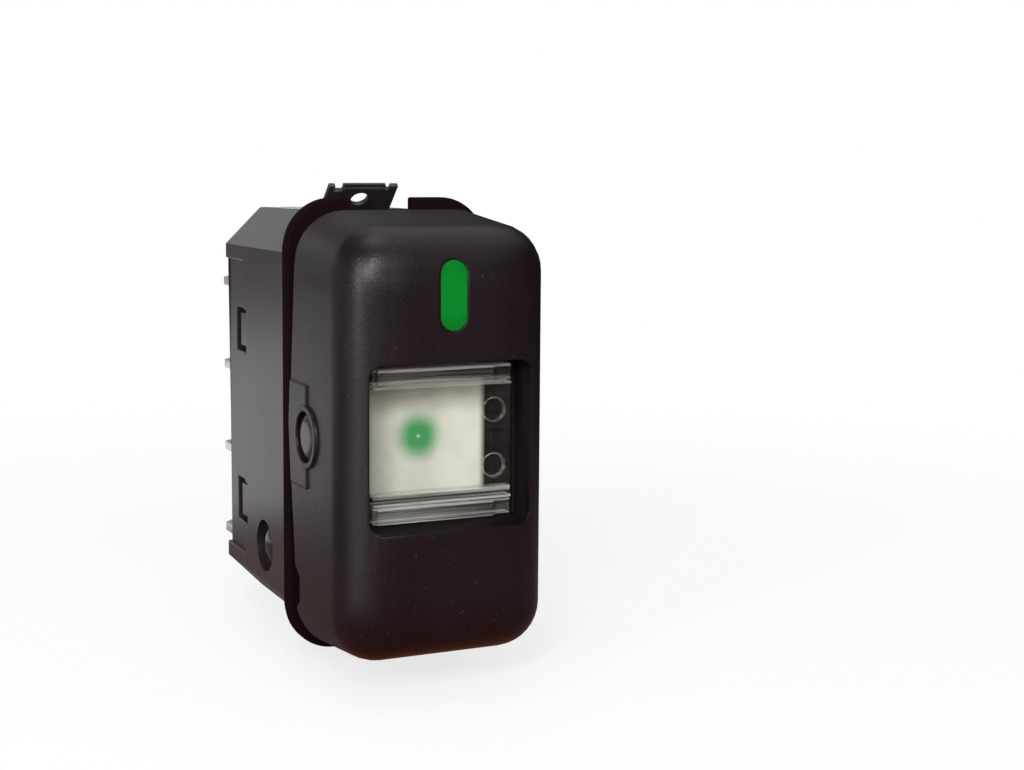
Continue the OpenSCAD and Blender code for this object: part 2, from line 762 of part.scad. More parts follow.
// Rivet contact with a domed face
module moving_contact(z) {
    color(c_silver) translate([works_x, 0, z]) {
        along_y(0.6, saw_front - 0.2, saw_back + 0.2, 0, 0);
        along_y(0.9, saw_front - 0.3, saw_front, 0, 0);
        intersection() {
            along_y(head_r, saw_back, dome_y + eps, 0, 0);
            translate([0, dome_centre, 0]) sphere(dome_r);
        }
    }
}

module fixed_contact(z) {
    color(c_silver) {
        along_y(1.3, fixed_y, pad_y, works_x, z);
        along_y(0.7 - slip, pad_y - 0.1, pad_y + pad_t, works_x, z);
    }
}

module moving_contact_upper() {
    moving_contact(contact_z);
}

module moving_contact_lower() {
    moving_contact(-contact_z);
}

module fixed_contact_upper() {
    fixed_contact(contact_z);
}

module fixed_contact_lower() {
    fixed_contact(-contact_z);
}

// Lamp board on the deck's posts
module lamp_board() {
    color("#7a6a3a") difference() {
        push_y(board_y0, board_y1) square([board_w, board_h], center = true);
        box(-board_w, works_x + deck_slot_w / 2, board_y0 - eps, board_y1 + eps, -deck_slot_h / 2, deck_slot_h / 2);
        for (x = [-1, 1], z = [-1, 1])
            along_y(0.5 + slip, board_y0 - eps, board_y1 + eps, x * peg_x, z * peg_z);
        for (p = [[-column_x, feed_z], [column_x, return_z]])
            box(p[0] - leg_w / 2 - slip, p[0] + leg_w / 2 + slip, board_y0 - eps, board_y1 + eps,
                p[1] - blade_t / 2 - slip, p[1] + blade_t / 2 + slip);
    }
}

// Bulb with a round end, standing on the board
module bulb(x, z, r, tip) {
    along_y(r, tip + r, board_y0, x, z);
    translate([x, tip + r, z]) sphere(r);
}

module legend_lamp() {
    color("#e9e4c8") bulb(lamp_x, 0, lamp_r, lamp_tip + 0.35);
}

module legend_lamp_boot() {
    color("#3aa65a") difference() {
        bulb(lamp_x, 0, boot_r, lamp_tip);
        bulb(lamp_x, 0, lamp_r + 0.02, lamp_tip + 0.33);
        box(lamp_x - 3, lamp_x + 3, board_y0 - 1, board_y0 + eps, -3, 3);
    }
}

module indicator_lamp() {
    color("#e9e4c8") bulb(0, indicator_z, lamp_r, lamp_tip);
}

// Domed stud pressed into the side wall
module side_stud() {
    seat = stud_sink - body_w / 2;
    head = stud_bore_d / 2 - 0.25;
    rise = 0.55;
    ball = (head * head + rise * rise) / (2 * rise);
    color(c_black) {
        along_x(stud_shank_d / 2, seat - 0.1, ledge - cavity_w / 2, stud_y, -stud_z);
        intersection() {
            along_x(head, seat - 2, seat, stud_y, -stud_z);
            translate([seat - rise + ball, stud_y, -stud_z]) sphere(ball);
        }
    }
}

module side_stud_left() {
    side_stud();
}

module side_stud_right() {
    rotate([0, 180, 0]) side_stud();
}

housing();
rocker_cap();
indicator_lens();
legend_lens();
legend_diffuser();
terminal_block();
terminal_upper();
terminal_common();
terminal_lower();
terminal_lamp_feed();
terminal_lamp_return();
top_clip();
bottom_clip();
plunger();
plunger_spring();
contact_rocker();
moving_contact_upper();
moving_contact_lower();
fixed_contact_upper();
fixed_contact_lower();
lamp_board();
legend_lamp();
legend_lamp_boot();
indicator_lamp();
side_stud_left();
side_stud_right();
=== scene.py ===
"""Looks of the panel rocker switch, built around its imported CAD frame.

Every piece is in metres in the CAD frame: +X to the right seen from the front, +Y into the panel
and +Z up. The sizes held by the classes are in millimetres where nothing else is said.
"""

import logging
import math
from dataclasses import dataclass
from enum import Enum
from typing import Any, Callable, Dict, List, Optional, Sequence, Tuple, Union

import bmesh
import bpy
from mathutils import Matrix, Quaternion, Vector
from mathutils.geometry import intersect_point_line

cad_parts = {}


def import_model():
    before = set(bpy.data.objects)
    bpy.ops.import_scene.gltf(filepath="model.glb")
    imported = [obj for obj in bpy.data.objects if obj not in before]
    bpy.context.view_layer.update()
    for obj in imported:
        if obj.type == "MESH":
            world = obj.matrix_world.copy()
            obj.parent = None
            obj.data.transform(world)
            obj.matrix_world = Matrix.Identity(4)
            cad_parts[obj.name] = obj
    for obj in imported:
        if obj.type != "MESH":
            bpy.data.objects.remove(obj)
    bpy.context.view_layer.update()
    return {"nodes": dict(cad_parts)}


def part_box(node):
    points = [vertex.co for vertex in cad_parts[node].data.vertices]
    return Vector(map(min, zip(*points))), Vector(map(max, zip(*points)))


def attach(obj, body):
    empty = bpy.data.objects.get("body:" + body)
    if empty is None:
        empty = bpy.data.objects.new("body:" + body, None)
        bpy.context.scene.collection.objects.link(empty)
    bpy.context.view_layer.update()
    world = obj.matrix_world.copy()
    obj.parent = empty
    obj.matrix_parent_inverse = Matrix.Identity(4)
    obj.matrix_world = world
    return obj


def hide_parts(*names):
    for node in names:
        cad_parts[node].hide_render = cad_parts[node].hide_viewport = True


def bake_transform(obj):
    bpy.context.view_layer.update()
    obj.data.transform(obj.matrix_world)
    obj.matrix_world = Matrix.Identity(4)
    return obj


MM = 0.001
IMAGE_W, IMAGE_H = 1024, 770
SENSOR_MM = 36.0
PLASTIC_IOR = 1.5
WHITE = (1.0, 1.0, 1.0)
LOG = logging.getLogger("rocker_switch")

Number = Union[int, float]
Value = Union["Socket", Number]
Pair = Tuple[float, float]
Vec3 = Tuple[float, float, float]
Colour = Vec3


class Body(str, Enum):
    """Rigid bodies of the CAD frame that pieces ride on."""

    HOUSING = "housing"
    ROCKER = "rocker"
    PLUNGER = "plunger"
    SEE_SAW = "see_saw"


class Socket:
    """A shader output that takes part in Python arithmetic."""

    def __init__(self, graph: "ShaderGraph", out: bpy.types.NodeSocket) -> None:
        """Keeps the output and the graph it belongs to."""
        self.graph = graph
        self.out = out

    def _math(self, operation: str, *values: Value) -> "Socket":
        """Adds one Math node on the given values."""
        return self.graph.node("ShaderNodeMath", {"operation": operation}, dict(enumerate(values)))

    def __add__(self, other: Value) -> "Socket":
        """Sum."""
        return self._math("ADD", self, other)

    def __radd__(self, other: Number) -> "Socket":
        """Sum with a number on the left."""
        return self._math("ADD", other, self)

    def __sub__(self, other: Value) -> "Socket":
        """Difference."""
        return self._math("SUBTRACT", self, other)

    def __rsub__(self, other: Number) -> "Socket":
        """Difference from a number on the left."""
        return self._math("SUBTRACT", other, self)

    def __mul__(self, other: Value) -> "Socket":
        """Product."""
        return self._math("MULTIPLY", self, other)

    def __rmul__(self, other: Number) -> "Socket":
        """Product with a number on the left."""
        return self._math("MULTIPLY", other, self)

    def __truediv__(self, other: Value) -> "Socket":
        """Quotient."""
        return self._math("DIVIDE", self, other)

    def __pow__(self, other: Number) -> "Socket":
        """Power."""
        return self._math("POWER", self, other)

    def __abs__(self) -> "Socket":
        """The value without its sign."""
        return self._math("ABSOLUTE", self)

    def sine(self) -> "Socket":
        """Sine of the value in radians."""
        return self._math("SINE", self)

    def reach(self, other: "Socket") -> "Socket":
        """Distance from zero, with this value and the other as the two sides."""
        return (self * self + other * other) ** 0.5

    def over(self, limit: float) -> "Socket":
        """1 where the value is above the limit, and 0 elsewhere."""
        return self._math("GREATER_THAN", self, limit)

    def clamp(self) -> "Socket":
        """The value held between 0 and 1."""
        return self.graph.node("ShaderNodeClamp", {}, {0: self})

    def smooth(self, low: float, high: float) -> "Socket":
        """A smooth step from 0 at low to 1 at high."""
        limits = {"Value": self, "From Min": low, "From Max": high}
        return self.graph.node("ShaderNodeMapRange", {"interpolation_type": "SMOOTHSTEP"}, limits)

    def fall(self, low: float, high: float) -> "Socket":
        """A smooth step from 1 at low to 0 at high."""
        return 1.0 - self.smooth(low, high)


class ShaderGraph:
    """The node tree of a material or a world, written as expressions."""

    RIM_SAMPLES = 6

    def __init__(self, owner: Union[bpy.types.Material, bpy.types.World]) -> None:
        """Empties the owner's node tree.

        Args:
            owner: The material or world.
        """
        owner.use_nodes = True
        kind = "World" if isinstance(owner, bpy.types.World) else "Material"
        self.output = "ShaderNodeOutput" + kind
        self.tree = owner.node_tree
        self.tree.nodes.clear()

    def node(
        self,
        kind: str,
        settings: Dict[str, Any],
        inputs: Dict[Union[int, str], Any],
        output: Union[int, str] = 0,
    ) -> Socket:
        """Adds a node.

        Args:
            kind: The node's type name.
            settings: Properties, which are set first.
            inputs: Socket index or name to a value or a Socket to link.
            output: The output to return.

        Returns:
            The chosen output.
        """
        made = self.tree.nodes.new(kind)
        for key, value in settings.items():
            setattr(made, key, value)
        for key, value in inputs.items():
            if isinstance(value, Socket):
                self.tree.links.new(value.out, made.inputs[key])
            elif isinstance(value, tuple) and len(value) == 3 and made.inputs[key].type == "RGBA":
                made.inputs[key].default_value = (*value, 1.0)
            else:
                made.inputs[key].default_value = value
        return Socket(self, made.outputs[output])

    def place(self, scale: Vec3 = (1.0, 1.0, 1.0)) -> Socket:
        """Object coordinates in millimetres.

        Args:
            scale: What each axis is multiplied by.

        Returns:
            The coordinates.
        """
        here = self.node("ShaderNodeTexCoord", {}, {}, "Object")
        sizes = tuple(s / MM for s in scale)
        return self.node("ShaderNodeMapping", {}, {"Vector": here, "Scale": sizes})

    def ray(self, kind: str) -> Socket:
        """1 for rays of a kind, such as Camera or Glossy, and 0 for the others."""
        return self.node("ShaderNodeLightPath", {}, {}, f"Is {kind} Ray")

    def axis(self, vector: Socket, name: str) -> Socket:
        """One component, X, Y or Z, of a vector."""
        return self.node("ShaderNodeSeparateXYZ", {}, {0: vector}, name)

    def noise(self, vector: Socket, scale: float, detail: float = 3.0, rough: float = 0.55) -> Socket:
        """Fractal noise between 0 and 1.

        Args:
            vector: Where to read it, in millimetres.
            scale: Waves in a millimetre.
            detail: Number of octaves.
            rough: Strength of the finer octaves.

        Returns:
            The noise value.
        """
        return self.node(
            "ShaderNodeTexNoise",
            {},
            {"Vector": vector, "Scale": scale, "Detail": detail, "Roughness": rough},
        )

    def mix(self, share: Value, low: Any, high: Any) -> Socket:
        """A colour between low and high.

        Args:
            share: 0 gives low and 1 gives high.
            low: Colour or Socket.
            high: Colour or Socket.

        Returns:
            The mixed colour.
        """
        return self.node("ShaderNodeMix", {"data_type": "RGBA"}, {0: share, 6: low, 7: high}, 2)

    def bump(self, height: Socket, depth_mm: float, rim_mm: float = 0.0) -> Socket:
        """A normal bent by a height field.

        Args:
            height: The field.
            depth_mm: How deep a height of 1 is.
            rim_mm: Radius at which edges are shaded as rounded, or 0 for none.

        Returns:
            The bent normal.
        """
        inputs: Dict[Union[int, str], Any] = {"Distance": depth_mm * MM, "Height": height}
        if rim_mm > 0.0:
            rounded = {"samples": self.RIM_SAMPLES}
            inputs["Normal"] = self.node("ShaderNodeBevel", rounded, {"Radius": rim_mm * MM})
        return self.node("ShaderNodeBump", {}, inputs)

    def principled(self, inputs: Dict[str, Any]) -> Socket:
        """The main shader with the given sockets."""
        return self.node("ShaderNodeBsdfPrincipled", {}, inputs)

    def close(self, shader: Socket) -> None:
        """Links the shader to the owner's output."""
        out = self.tree.nodes.new(self.output)
        self.tree.links.new(shader.out, out.inputs["Surface"])


class Finish:
    """What a surface is made of. Its material is made once, and its pieces share it."""

    name: str

    def shade(self, graph: ShaderGraph) -> Socket:
        """Writes the shader into the graph.

        Args:
            graph: The empty material's graph.

        Returns:
            The shader output.
        """
        raise NotImplementedError

    def material(self) -> bpy.types.Material:
        """The finish's material, made at its first use.

        Returns:
            The material.
        """
        made = bpy.data.materials.get(self.name)
        if made is None:
            made = bpy.data.materials.new(self.name)
            graph = ShaderGraph(made)
            graph.close(self.shade(graph))
        return made


@dataclass(frozen=True)
class Crown:
    """A flat face that eases into the rounding at its limits, measured from the part's middle."""

    limit_x: float
    limit_z: float
    reach: float
    radius: float

    def height(self, graph: ShaderGraph, here: Socket) -> Value:
        """Height, in millimetres, that bends the light as the rounding would.

        Args:
            graph: The material's graph.
            here: The place on the surface, in millimetres.

        Returns:
            The height: 0 on the flat part, and less past it.
        """
        full = self.reach * self.reach / (6.0 * self.radius)
        height: Value = 0.0
        for name, limit in (("X", self.limit_x), ("Z", self.limit_z)):
            along = abs(graph.axis(here, name))
            share = ((along - (limit - self.reach)) / (2.0 * self.reach)).clamp()
            rest = 1.0 - share
            near, far = share * share * share * 4.0, 1.0 - rest * rest * rest * 4.0
            height = height - (near + (far - near) * share.over(0.5)) * full
        return height


@dataclass(frozen=True)
class MouldedPlastic(Finish):
    """A moulding with a spark-eroded grain, slow clouds of shade and a few pale specks of dust."""

    name: str
    colour: Colour
    cloud_colour: Colour
    rough: float
    grain_per_mm: float
    grain_mm: float
    rough_spread: float = 0.1
    dust: float = 0.0
    milk: float = 0.0
    specular: float = 0.5
    crown: Optional[Crown] = None
    rim_mm: float = 0.0
    cloud_per_mm: float = 0.16
    cloud_step: Pair = (0.3, 0.7)
    speck_per_mm: float = 4.2
    speck_step: Pair = (0.76, 0.8)
    speck_colour: Colour = (0.32, 0.3, 0.29)
    milk_mm: float = 0.7
    milk_radius: Vec3 = (1.0, 1.0, 0.9)

    def shade(self, graph: ShaderGraph) -> Socket:
        """Grain in the normal and the gloss, clouds and dust in the colour.

        Args:
            graph: The empty material's graph.

        Returns:
            The shader output.
        """
        here = graph.place()
        grain = graph.noise(here, self.grain_per_mm, 2.0, 0.6)
        cloud = graph.noise(here, self.cloud_per_mm)
        shade = graph.mix(cloud.smooth(*self.cloud_step), self.colour, self.cloud_colour)
        if self.dust > 0.0:
            speck = graph.noise(here, self.speck_per_mm, 1.0, 0.4).smooth(*self.speck_step)
            shade = graph.mix(speck * self.dust, shade, self.speck_colour)
        relief = grain * self.grain_mm
        if self.crown is not None:
            relief = relief + self.crown.height(graph, here)
        sockets: Dict[str, Any] = {
            "Base Color": shade,
            "Roughness": self.rough + (grain + cloud - 1.0) * self.rough_spread,
            "Normal": graph.bump(relief, 1.0, self.rim_mm),
            "IOR": PLASTIC_IOR,
            "Specular IOR Level": self.specular,
        }
        if self.milk > 0.0:
            sockets["Subsurface Weight"] = self.milk
            sockets["Subsurface Radius"] = self.milk_radius
            sockets["Subsurface Scale"] = self.milk_mm * MM
        return graph.principled(sockets)


@dataclass(frozen=True)
class TintedLens(Finish):
    """A glossy dyed lens, deeper in colour towards the ends of its slot."""

    name: str
    colour: Colour
    deep_colour: Colour
    middle: Pair
    half_length: float
    across_share: float = 0.35
    deep_step: Pair = (0.45, 1.15)
    flow_per_mm: float = 1.6
    flow_stretch: Vec3 = (1.0, 1.0, 0.25)
    flow_mm: float = 0.01
    rough: float = 0.34
    coat: float = 0.05
    specular: float = 0.1

    def shade(self, graph: ShaderGraph) -> Socket:
        """Colour by the distance from the slot's middle, with a faint flow of the moulding.

        Args:
            graph: The empty material's graph.

        Returns:
            The shader output.
        """
        here = graph.place()
        along = graph.axis(here, "Z") - self.middle[1]
        across = graph.axis(here, "X") - self.middle[0]
        far = (along * along / self.half_length**2 + across * across * self.across_share) ** 0.5
        flow = graph.noise(graph.place(self.flow_stretch), self.flow_per_mm, 2.0)
        share = (far.smooth(*self.deep_step) * 0.8 + flow * 0.3).clamp()
        return graph.principled(
            {
                "Base Color": graph.mix(share, self.colour, self.deep_colour),
                "Roughness": self.rough + flow * 0.14,
                "Normal": graph.bump(flow, self.flow_mm),
                "Coat Weight": self.coat,
                "IOR": PLASTIC_IOR,
                "Specular IOR Level": self.specular,
            }
        )


@dataclass(frozen=True)
class ClearPlastic(Finish):
    """Clear plastic or glass with gloss from its angle, a little haze, frosted rails, and painted
    highlight lines and rings.

    A painted highlight line is given by its height, half its width and its strength, and a painted
    highlight ring by its middle.
    """

    name: str
    tint: Colour
    frost_colour: Colour
    haze: float
    frost: float = 0.0
    frost_from: float = 0.0
    fade: Pair = (0.0, 1.0)
    lines: Tuple[Vec3, ...] = ()
    gloss: float = 1.0
    rings: Tuple[Pair, ...] = ()
    ring_r: float = 0.9
    ring_back: float = -11.1
    ring_soft: float = 0.012
    ring_share: float = 0.25
    drawn_per_mm: float = 1.6
    drawn_stretch: Vec3 = (0.05, 0.6, 2.4)
    pale_step: Pair = (0.38, 0.62)
    pale_colour: Colour = (0.62, 0.62, 0.58)
    frost_rough: float = 0.25
    mirror_colour: Colour = (0.9, 0.9, 0.9)
    mirror_rough: float = 0.06
    ior: float = 1.45

    def shade(self, graph: ShaderGraph) -> Socket:
        """Mixes see-through, frosted and mirrored parts by factor.

        Args:
            graph: The empty material's graph.

        Returns:
            The shader output.
        """
        here = graph.place()
        drawn = graph.noise(graph.place(self.drawn_stretch), self.drawn_per_mm, 4.0, 0.7)
        painted_highlights = self.painted_highlights(graph.axis(here, "Z"))
        # Painted highlights: the lines raise both the pale share and the pale colour.
        share = self.haze * (0.5 + drawn) + self.marked(graph, here, drawn) + painted_highlights
        pale = (drawn.smooth(*self.pale_step) * 0.8 + painted_highlights * 0.7).clamp()
        clear = graph.node("ShaderNodeBsdfTransparent", {}, {"Color": self.tint})
        frosted = graph.principled(
            {
                "Base Color": graph.mix(pale, self.frost_colour, self.pale_colour),
                "Roughness": self.frost_rough + drawn * 0.2,
            }
        )
        body = graph.node("ShaderNodeMixShader", {}, {0: share.clamp(), 1: clear, 2: frosted})
        shine = {"Color": self.mirror_colour, "Roughness": self.mirror_rough}
        mirror = graph.node("ShaderNodeBsdfGlossy", {}, shine)
        outer = 1.0 - graph.node("ShaderNodeNewGeometry", {}, {}, "Backfacing")
        edge = graph.node("ShaderNodeFresnel", {}, {"IOR": self.ior}) * outer
        return graph.node("ShaderNodeMixShader", {}, {0: edge * self.gloss, 1: body, 2: mirror})

    def painted_highlights(self, high: Socket) -> Value:
        """How much the painted highlight lines along the rails show.

        Args:
            high: The height on the surface, in millimetres.

        Returns:
            The share of pale surface from the painted highlights, or 0 without lines.
        """
        share: Value = 0.0
        # Each line paints a highlight along a rail.
        for line, half, strength in self.lines:
            off = high - line
            share = share + (off * off).fall(0.0, half * half) * strength
        return share

    def marked(self, graph: ShaderGraph, here: Socket, drawn: Socket) -> Value:
        """How much the frosted rails and the painted highlight rings round the post stubs show.

        Args:
            graph: The material's graph.
            here: The place on the surface, in millimetres.
            drawn: Noise drawn out along the rails.

        Returns:
            The share of pale surface, frosted on the rails and a painted highlight at the rings, or 0
            for plain glass.
        """
        if self.frost == 0.0:
            return 0.0
        across, high = graph.axis(here, "X"), graph.axis(here, "Z")
        dim = 1.0 - across.smooth(*self.fade) * 0.65
        rail = abs(high).smooth(self.frost_from, self.frost_from + 0.2)
        share = rail * self.frost * dim * (0.45 + drawn * 1.1)
        behind = graph.axis(here, "Y").smooth(self.ring_back - 0.05, self.ring_back)
        # Painted highlight rings round the post stubs behind the lens.
        for side, up in self.rings:
            off = (across - side).reach(high - up) - self.ring_r
            share = share + (off * off).fall(0.0, self.ring_soft) * behind * self.ring_share
        return share


@dataclass(frozen=True)
class MilkySheet(Finish):
    """The pale legend sheet, with the green of the lamp's boot showing through and painted shade near
    its top and sides.
    """

    name: str
    colour: Colour
    painted_shade_colour: Colour
    glow_colour: Colour
    glow_at: Pair
    glow_r: float
    left_shade_span: Pair
    right_shade_span: Pair
    top_shadow_span: Pair
    painted_edge_shade: Colour = (0.05, 0.045, 0.045)
    core_colour: Colour = (0.5, 0.78, 0.55)
    core_step: Pair = (0.05, 0.22)
    cloud_per_mm: float = 0.5
    cloud_step: Pair = (0.35, 0.7)
    cloud_mm: float = 0.02

    def shade(self, graph: ShaderGraph) -> Socket:
        """A soft green spot with a pale core, on a faintly clouded sheet with painted shade towards its
        top and its side edges.

        Args:
            graph: The empty material's graph.

        Returns:
            The shader output.
        """
        here = graph.place()
        across, high = graph.axis(here, "X"), graph.axis(here, "Z")
        far = (across - self.glow_at[0]).reach(high - self.glow_at[1])
        cloud = graph.noise(here, self.cloud_per_mm)
        # Painted shade: darker towards the top, where the window's top wall casts its shadow, and near
        # the left edge, with faint random clouds as well.
        dim = high.smooth(*self.top_shadow_span) * 0.7 + cloud.smooth(*self.cloud_step) * 0.25
        dim = dim + across.fall(*self.left_shade_span) * 0.55
        sheet = graph.mix(dim.clamp(), self.colour, self.painted_shade_colour)
        # Painted shade: the right edge blends to near black.
        edge_shaded = graph.mix(across.smooth(*self.right_shade_span), sheet, self.painted_edge_shade)
        green = far.fall(0.3 * self.glow_r, 1.15 * self.glow_r) * (0.85 + cloud * 0.3)
        spot = graph.mix(far.fall(*self.core_step) * 0.75, self.glow_colour, self.core_colour)
        return graph.principled(
            {
                "Base Color": graph.mix(green.clamp(), edge_shaded, spot),
                "Roughness": 0.45 + cloud * 0.2,
                "Normal": graph.bump(cloud, self.cloud_mm),
            }
        )


@dataclass(frozen=True)
class RolledMetal(Finish):
    """Strip, wire or plate with drawn streaks, tarnish clouds and fine scratches."""

    name: str
    colour: Colour
    tarnish: Colour
    rough: float
    tarnish_share: float
    stretch: Vec3 = (1.0, 1.0, 1.0)
    metallic: float = 1.0
    streak_per_mm: float = 7.0
    streak_mm: float = 0.003
    cloud_per_mm: float = 0.45
    cloud_step: Pair = (0.38, 0.72)

    def shade(self, graph: ShaderGraph) -> Socket:
        """Streaks in gloss and normal, tarnish in the colour.

        Args:
            graph: The empty material's graph.

        Returns:
            The shader output.
        """
        streak = graph.noise(graph.place(self.stretch), self.streak_per_mm, 4.0, 0.65)
        cloud = graph.noise(graph.place(), self.cloud_per_mm, 4.0)
        share = cloud.smooth(*self.cloud_step) * self.tarnish_share + (streak - 0.5) * 0.35
        return graph.principled(
            {
                "Base Color": graph.mix(share.clamp(), self.colour, self.tarnish),
                "Metallic": self.metallic,
                "Roughness": (self.rough + streak * 0.18 + cloud * 0.12).clamp(),
                "Normal": graph.bump(streak, self.streak_mm),
            }
        )


@dataclass(frozen=True)
class Laminate(Finish):
    """Pressed board with the weave of its glass cloth showing."""

    name: str
    colour: Colour
    thread_colour: Colour
    cut_colour: Colour
    middle_y: float
    half_mm: float = 0.4
    cut_fade: Pair = (0.06, 0.01)
    threads_per_mm: float = 2.2
    thread_mm: float = 0.01
    cloud_per_mm: float = 0.3

    def shade(self, graph: ShaderGraph) -> Socket:
        """Two crossed waves for the threads under a clear resin, and darker cut edges.

        Args:
            graph: The empty material's graph.

        Returns:
            The shader output.
        """
        here = graph.place()
        turns = 2.0 * math.pi * self.threads_per_mm
        warp, weft = ((graph.axis(here, name) * turns).sine() for name in "XZ")
        weave = (warp * weft * 0.5 + 0.5).clamp()
        cloud = graph.noise(here, self.cloud_per_mm)
        deep = graph.axis(here, "Y") - self.middle_y
        cut = (deep * deep).fall(*((self.half_mm - edge) ** 2 for edge in self.cut_fade))
        face = graph.mix(weave * 0.6 + cloud * 0.3, self.colour, self.thread_colour)
        return graph.principled(
            {
                "Base Color": graph.mix(cut, face, self.cut_colour),
                "Roughness": 0.35 + weave * 0.15,
                "Normal": graph.bump(weave, self.thread_mm),
            }
        )


CAP_BLACK = MouldedPlastic(
    "cap_black", (0.0068, 0.0034, 0.005), (0.0088, 0.0046, 0.0064),
    rough=0.34, grain_per_mm=4.6, grain_mm=0.015, dust=0.12, specular=0.22,
    crown=Crown(limit_x=4.88, limit_z=12.8, reach=2.3, radius=3.6), rim_mm=0.25,
)
# Painted shade: a darker copy of the cap's black, with weaker gloss, for the walls of the window's
# recess.
POCKET_PAINTED_SHADE = MouldedPlastic(
    "pocket_painted_shade", (0.0045, 0.0022, 0.0032), (0.006, 0.003, 0.0042),
    rough=0.5, grain_per_mm=4.6, grain_mm=0.006, specular=0.06, rim_mm=0.25,
)
HOUSING_BLACK = MouldedPlastic(
    "housing_black", (0.0125, 0.0088, 0.0102), (0.016, 0.0116, 0.0132),
    rough=0.24, grain_per_mm=5.0, grain_mm=0.002, dust=0.1, specular=0.36,
)
# Painted shade: a darker copy of the housing's black, nearly without gloss, for the flange's front, in
# shade between the body and the cap.
FLANGE_PAINTED_SHADE = MouldedPlastic(
    "flange_painted_shade", (0.0062, 0.0022, 0.0038), (0.0078, 0.0031, 0.0049),
    rough=0.75, grain_per_mm=6.0, grain_mm=0.004, specular=0.02,
)
STUD_BLACK = MouldedPlastic(
    "stud_black", (0.006, 0.0045, 0.005), (0.008, 0.006, 0.0066),
    rough=0.12, rough_spread=0.04, grain_per_mm=4.0, grain_mm=0.001,
)
MINT_NYLON = MouldedPlastic(
    "mint_nylon", (0.36, 0.48, 0.35), (0.41, 0.54, 0.42),
    rough=0.36, grain_per_mm=3.0, grain_mm=0.004, milk=0.25, specular=0.3,
)
# Painted warm light: a paler, warmer copy of the mint nylon for the keying bar.
BAR_PAINTED_LIGHT = MouldedPlastic(
    "bar_painted_light", (0.5, 0.5, 0.36), (0.56, 0.55, 0.41),
    rough=0.36, grain_per_mm=3.0, grain_mm=0.004, milk=0.25,
)
# Painted shade: a dark olive copy of the nylon for the walls of the empty slots.
SLOT_PAINTED_SHADE = MouldedPlastic(
    "slot_painted_shade", (0.2, 0.19, 0.08), (0.26, 0.25, 0.12),
    rough=0.4, grain_per_mm=3.0, grain_mm=0.004,
)
PLUNGER_IVORY = MouldedPlastic(
    "plunger_ivory", (0.68, 0.65, 0.54), (0.62, 0.58, 0.47),
    rough=0.35, grain_per_mm=3.0, grain_mm=0.003,
)
BOOT_GREEN = MouldedPlastic(
    "boot_green", (0.03, 0.3, 0.08), (0.05, 0.36, 0.11),
    rough=0.55, grain_per_mm=5.0, grain_mm=0.006, milk=0.3,
)
INDICATOR_GREEN = TintedLens(
    "indicator_green", (0.0, 0.185, 0.016), (0.0, 0.12, 0.01), middle=(0.0, 11.25), half_length=2.6
)
LENS_CLEAR = ClearPlastic(
    "lens_clear", (0.97, 0.975, 0.96), (0.1, 0.1, 0.092),
    haze=0.012, frost=0.18, frost_from=4.2, fade=(-3.0, 5.0),
    # Painted highlights: pale lines along the rails.
    lines=(
        (5.68, 0.16, 1.0), (4.66, 0.08, 0.35), (4.36, 0.12, 0.35), (-3.78, 0.25, 0.35),
        (-4.36, 0.12, 0.35), (-4.66, 0.08, 0.35), (-5.74, 0.1, 0.4),
    ),
    # The rings paint highlights round the post stubs.
    gloss=0.35, rings=((4.7, 2.15), (4.7, -2.15)),
)
BULB_GLASS = ClearPlastic("bulb_glass", (0.95, 0.94, 0.88), (0.6, 0.58, 0.5), haze=0.08)
# The sheet's second colour and its spans paint shade near its top and side edges.
LEGEND_WHITE = MilkySheet(
    "legend_white", (0.7, 0.71, 0.635), (0.43, 0.44, 0.385), (0.035, 0.33, 0.1),
    glow_at=(-0.8, 0.15), glow_r=2.1,
    left_shade_span=(-5.6, -4.3), right_shade_span=(4.2, 4.85), top_shadow_span=(1.15, 4.35),
)
TIN_PLATE = RolledMetal(
    "tin_plate", (0.74, 0.73, 0.7), (0.5, 0.48, 0.44), 0.17, 0.45, stretch=(1.0, 0.12, 1.0)
)
BLUED_STEEL = RolledMetal(
    "blued_steel", (0.05, 0.042, 0.046), (0.1, 0.08, 0.075), 0.34, 0.6,
    stretch=(0.15, 1.0, 1.0), metallic=0.7,
)
SPRING_WIRE = RolledMetal("drawn_wire", (0.5, 0.5, 0.49), (0.3, 0.29, 0.27), 0.25, 0.5)
BRASS_STRIP = RolledMetal(
    "rolled_brass", (0.62, 0.44, 0.18), (0.38, 0.24, 0.09), 0.28, 0.6, stretch=(1.0, 1.0, 0.12)
)
CONTACT_SILVER = RolledMetal("faced_silver", (0.82, 0.81, 0.78), (0.5, 0.47, 0.42), 0.25, 0.5)
SOLDER = RolledMetal("solder", (0.62, 0.62, 0.6), (0.4, 0.4, 0.39), 0.3, 0.4)
TUNGSTEN = RolledMetal("tungsten", (0.3, 0.29, 0.28), (0.16, 0.15, 0.14), 0.4, 0.5)
BOARD_BROWN = Laminate(
    "board_brown", (0.16, 0.11, 0.035), (0.24, 0.17, 0.06), (0.022, 0.016, 0.009), middle_y=-1.8
)


@dataclass(frozen=True)
class Stretch:
    """The far body of a piece between two bodies, and the two ends of its span."""

    body: Body
    start: Vec3
    end: Vec3


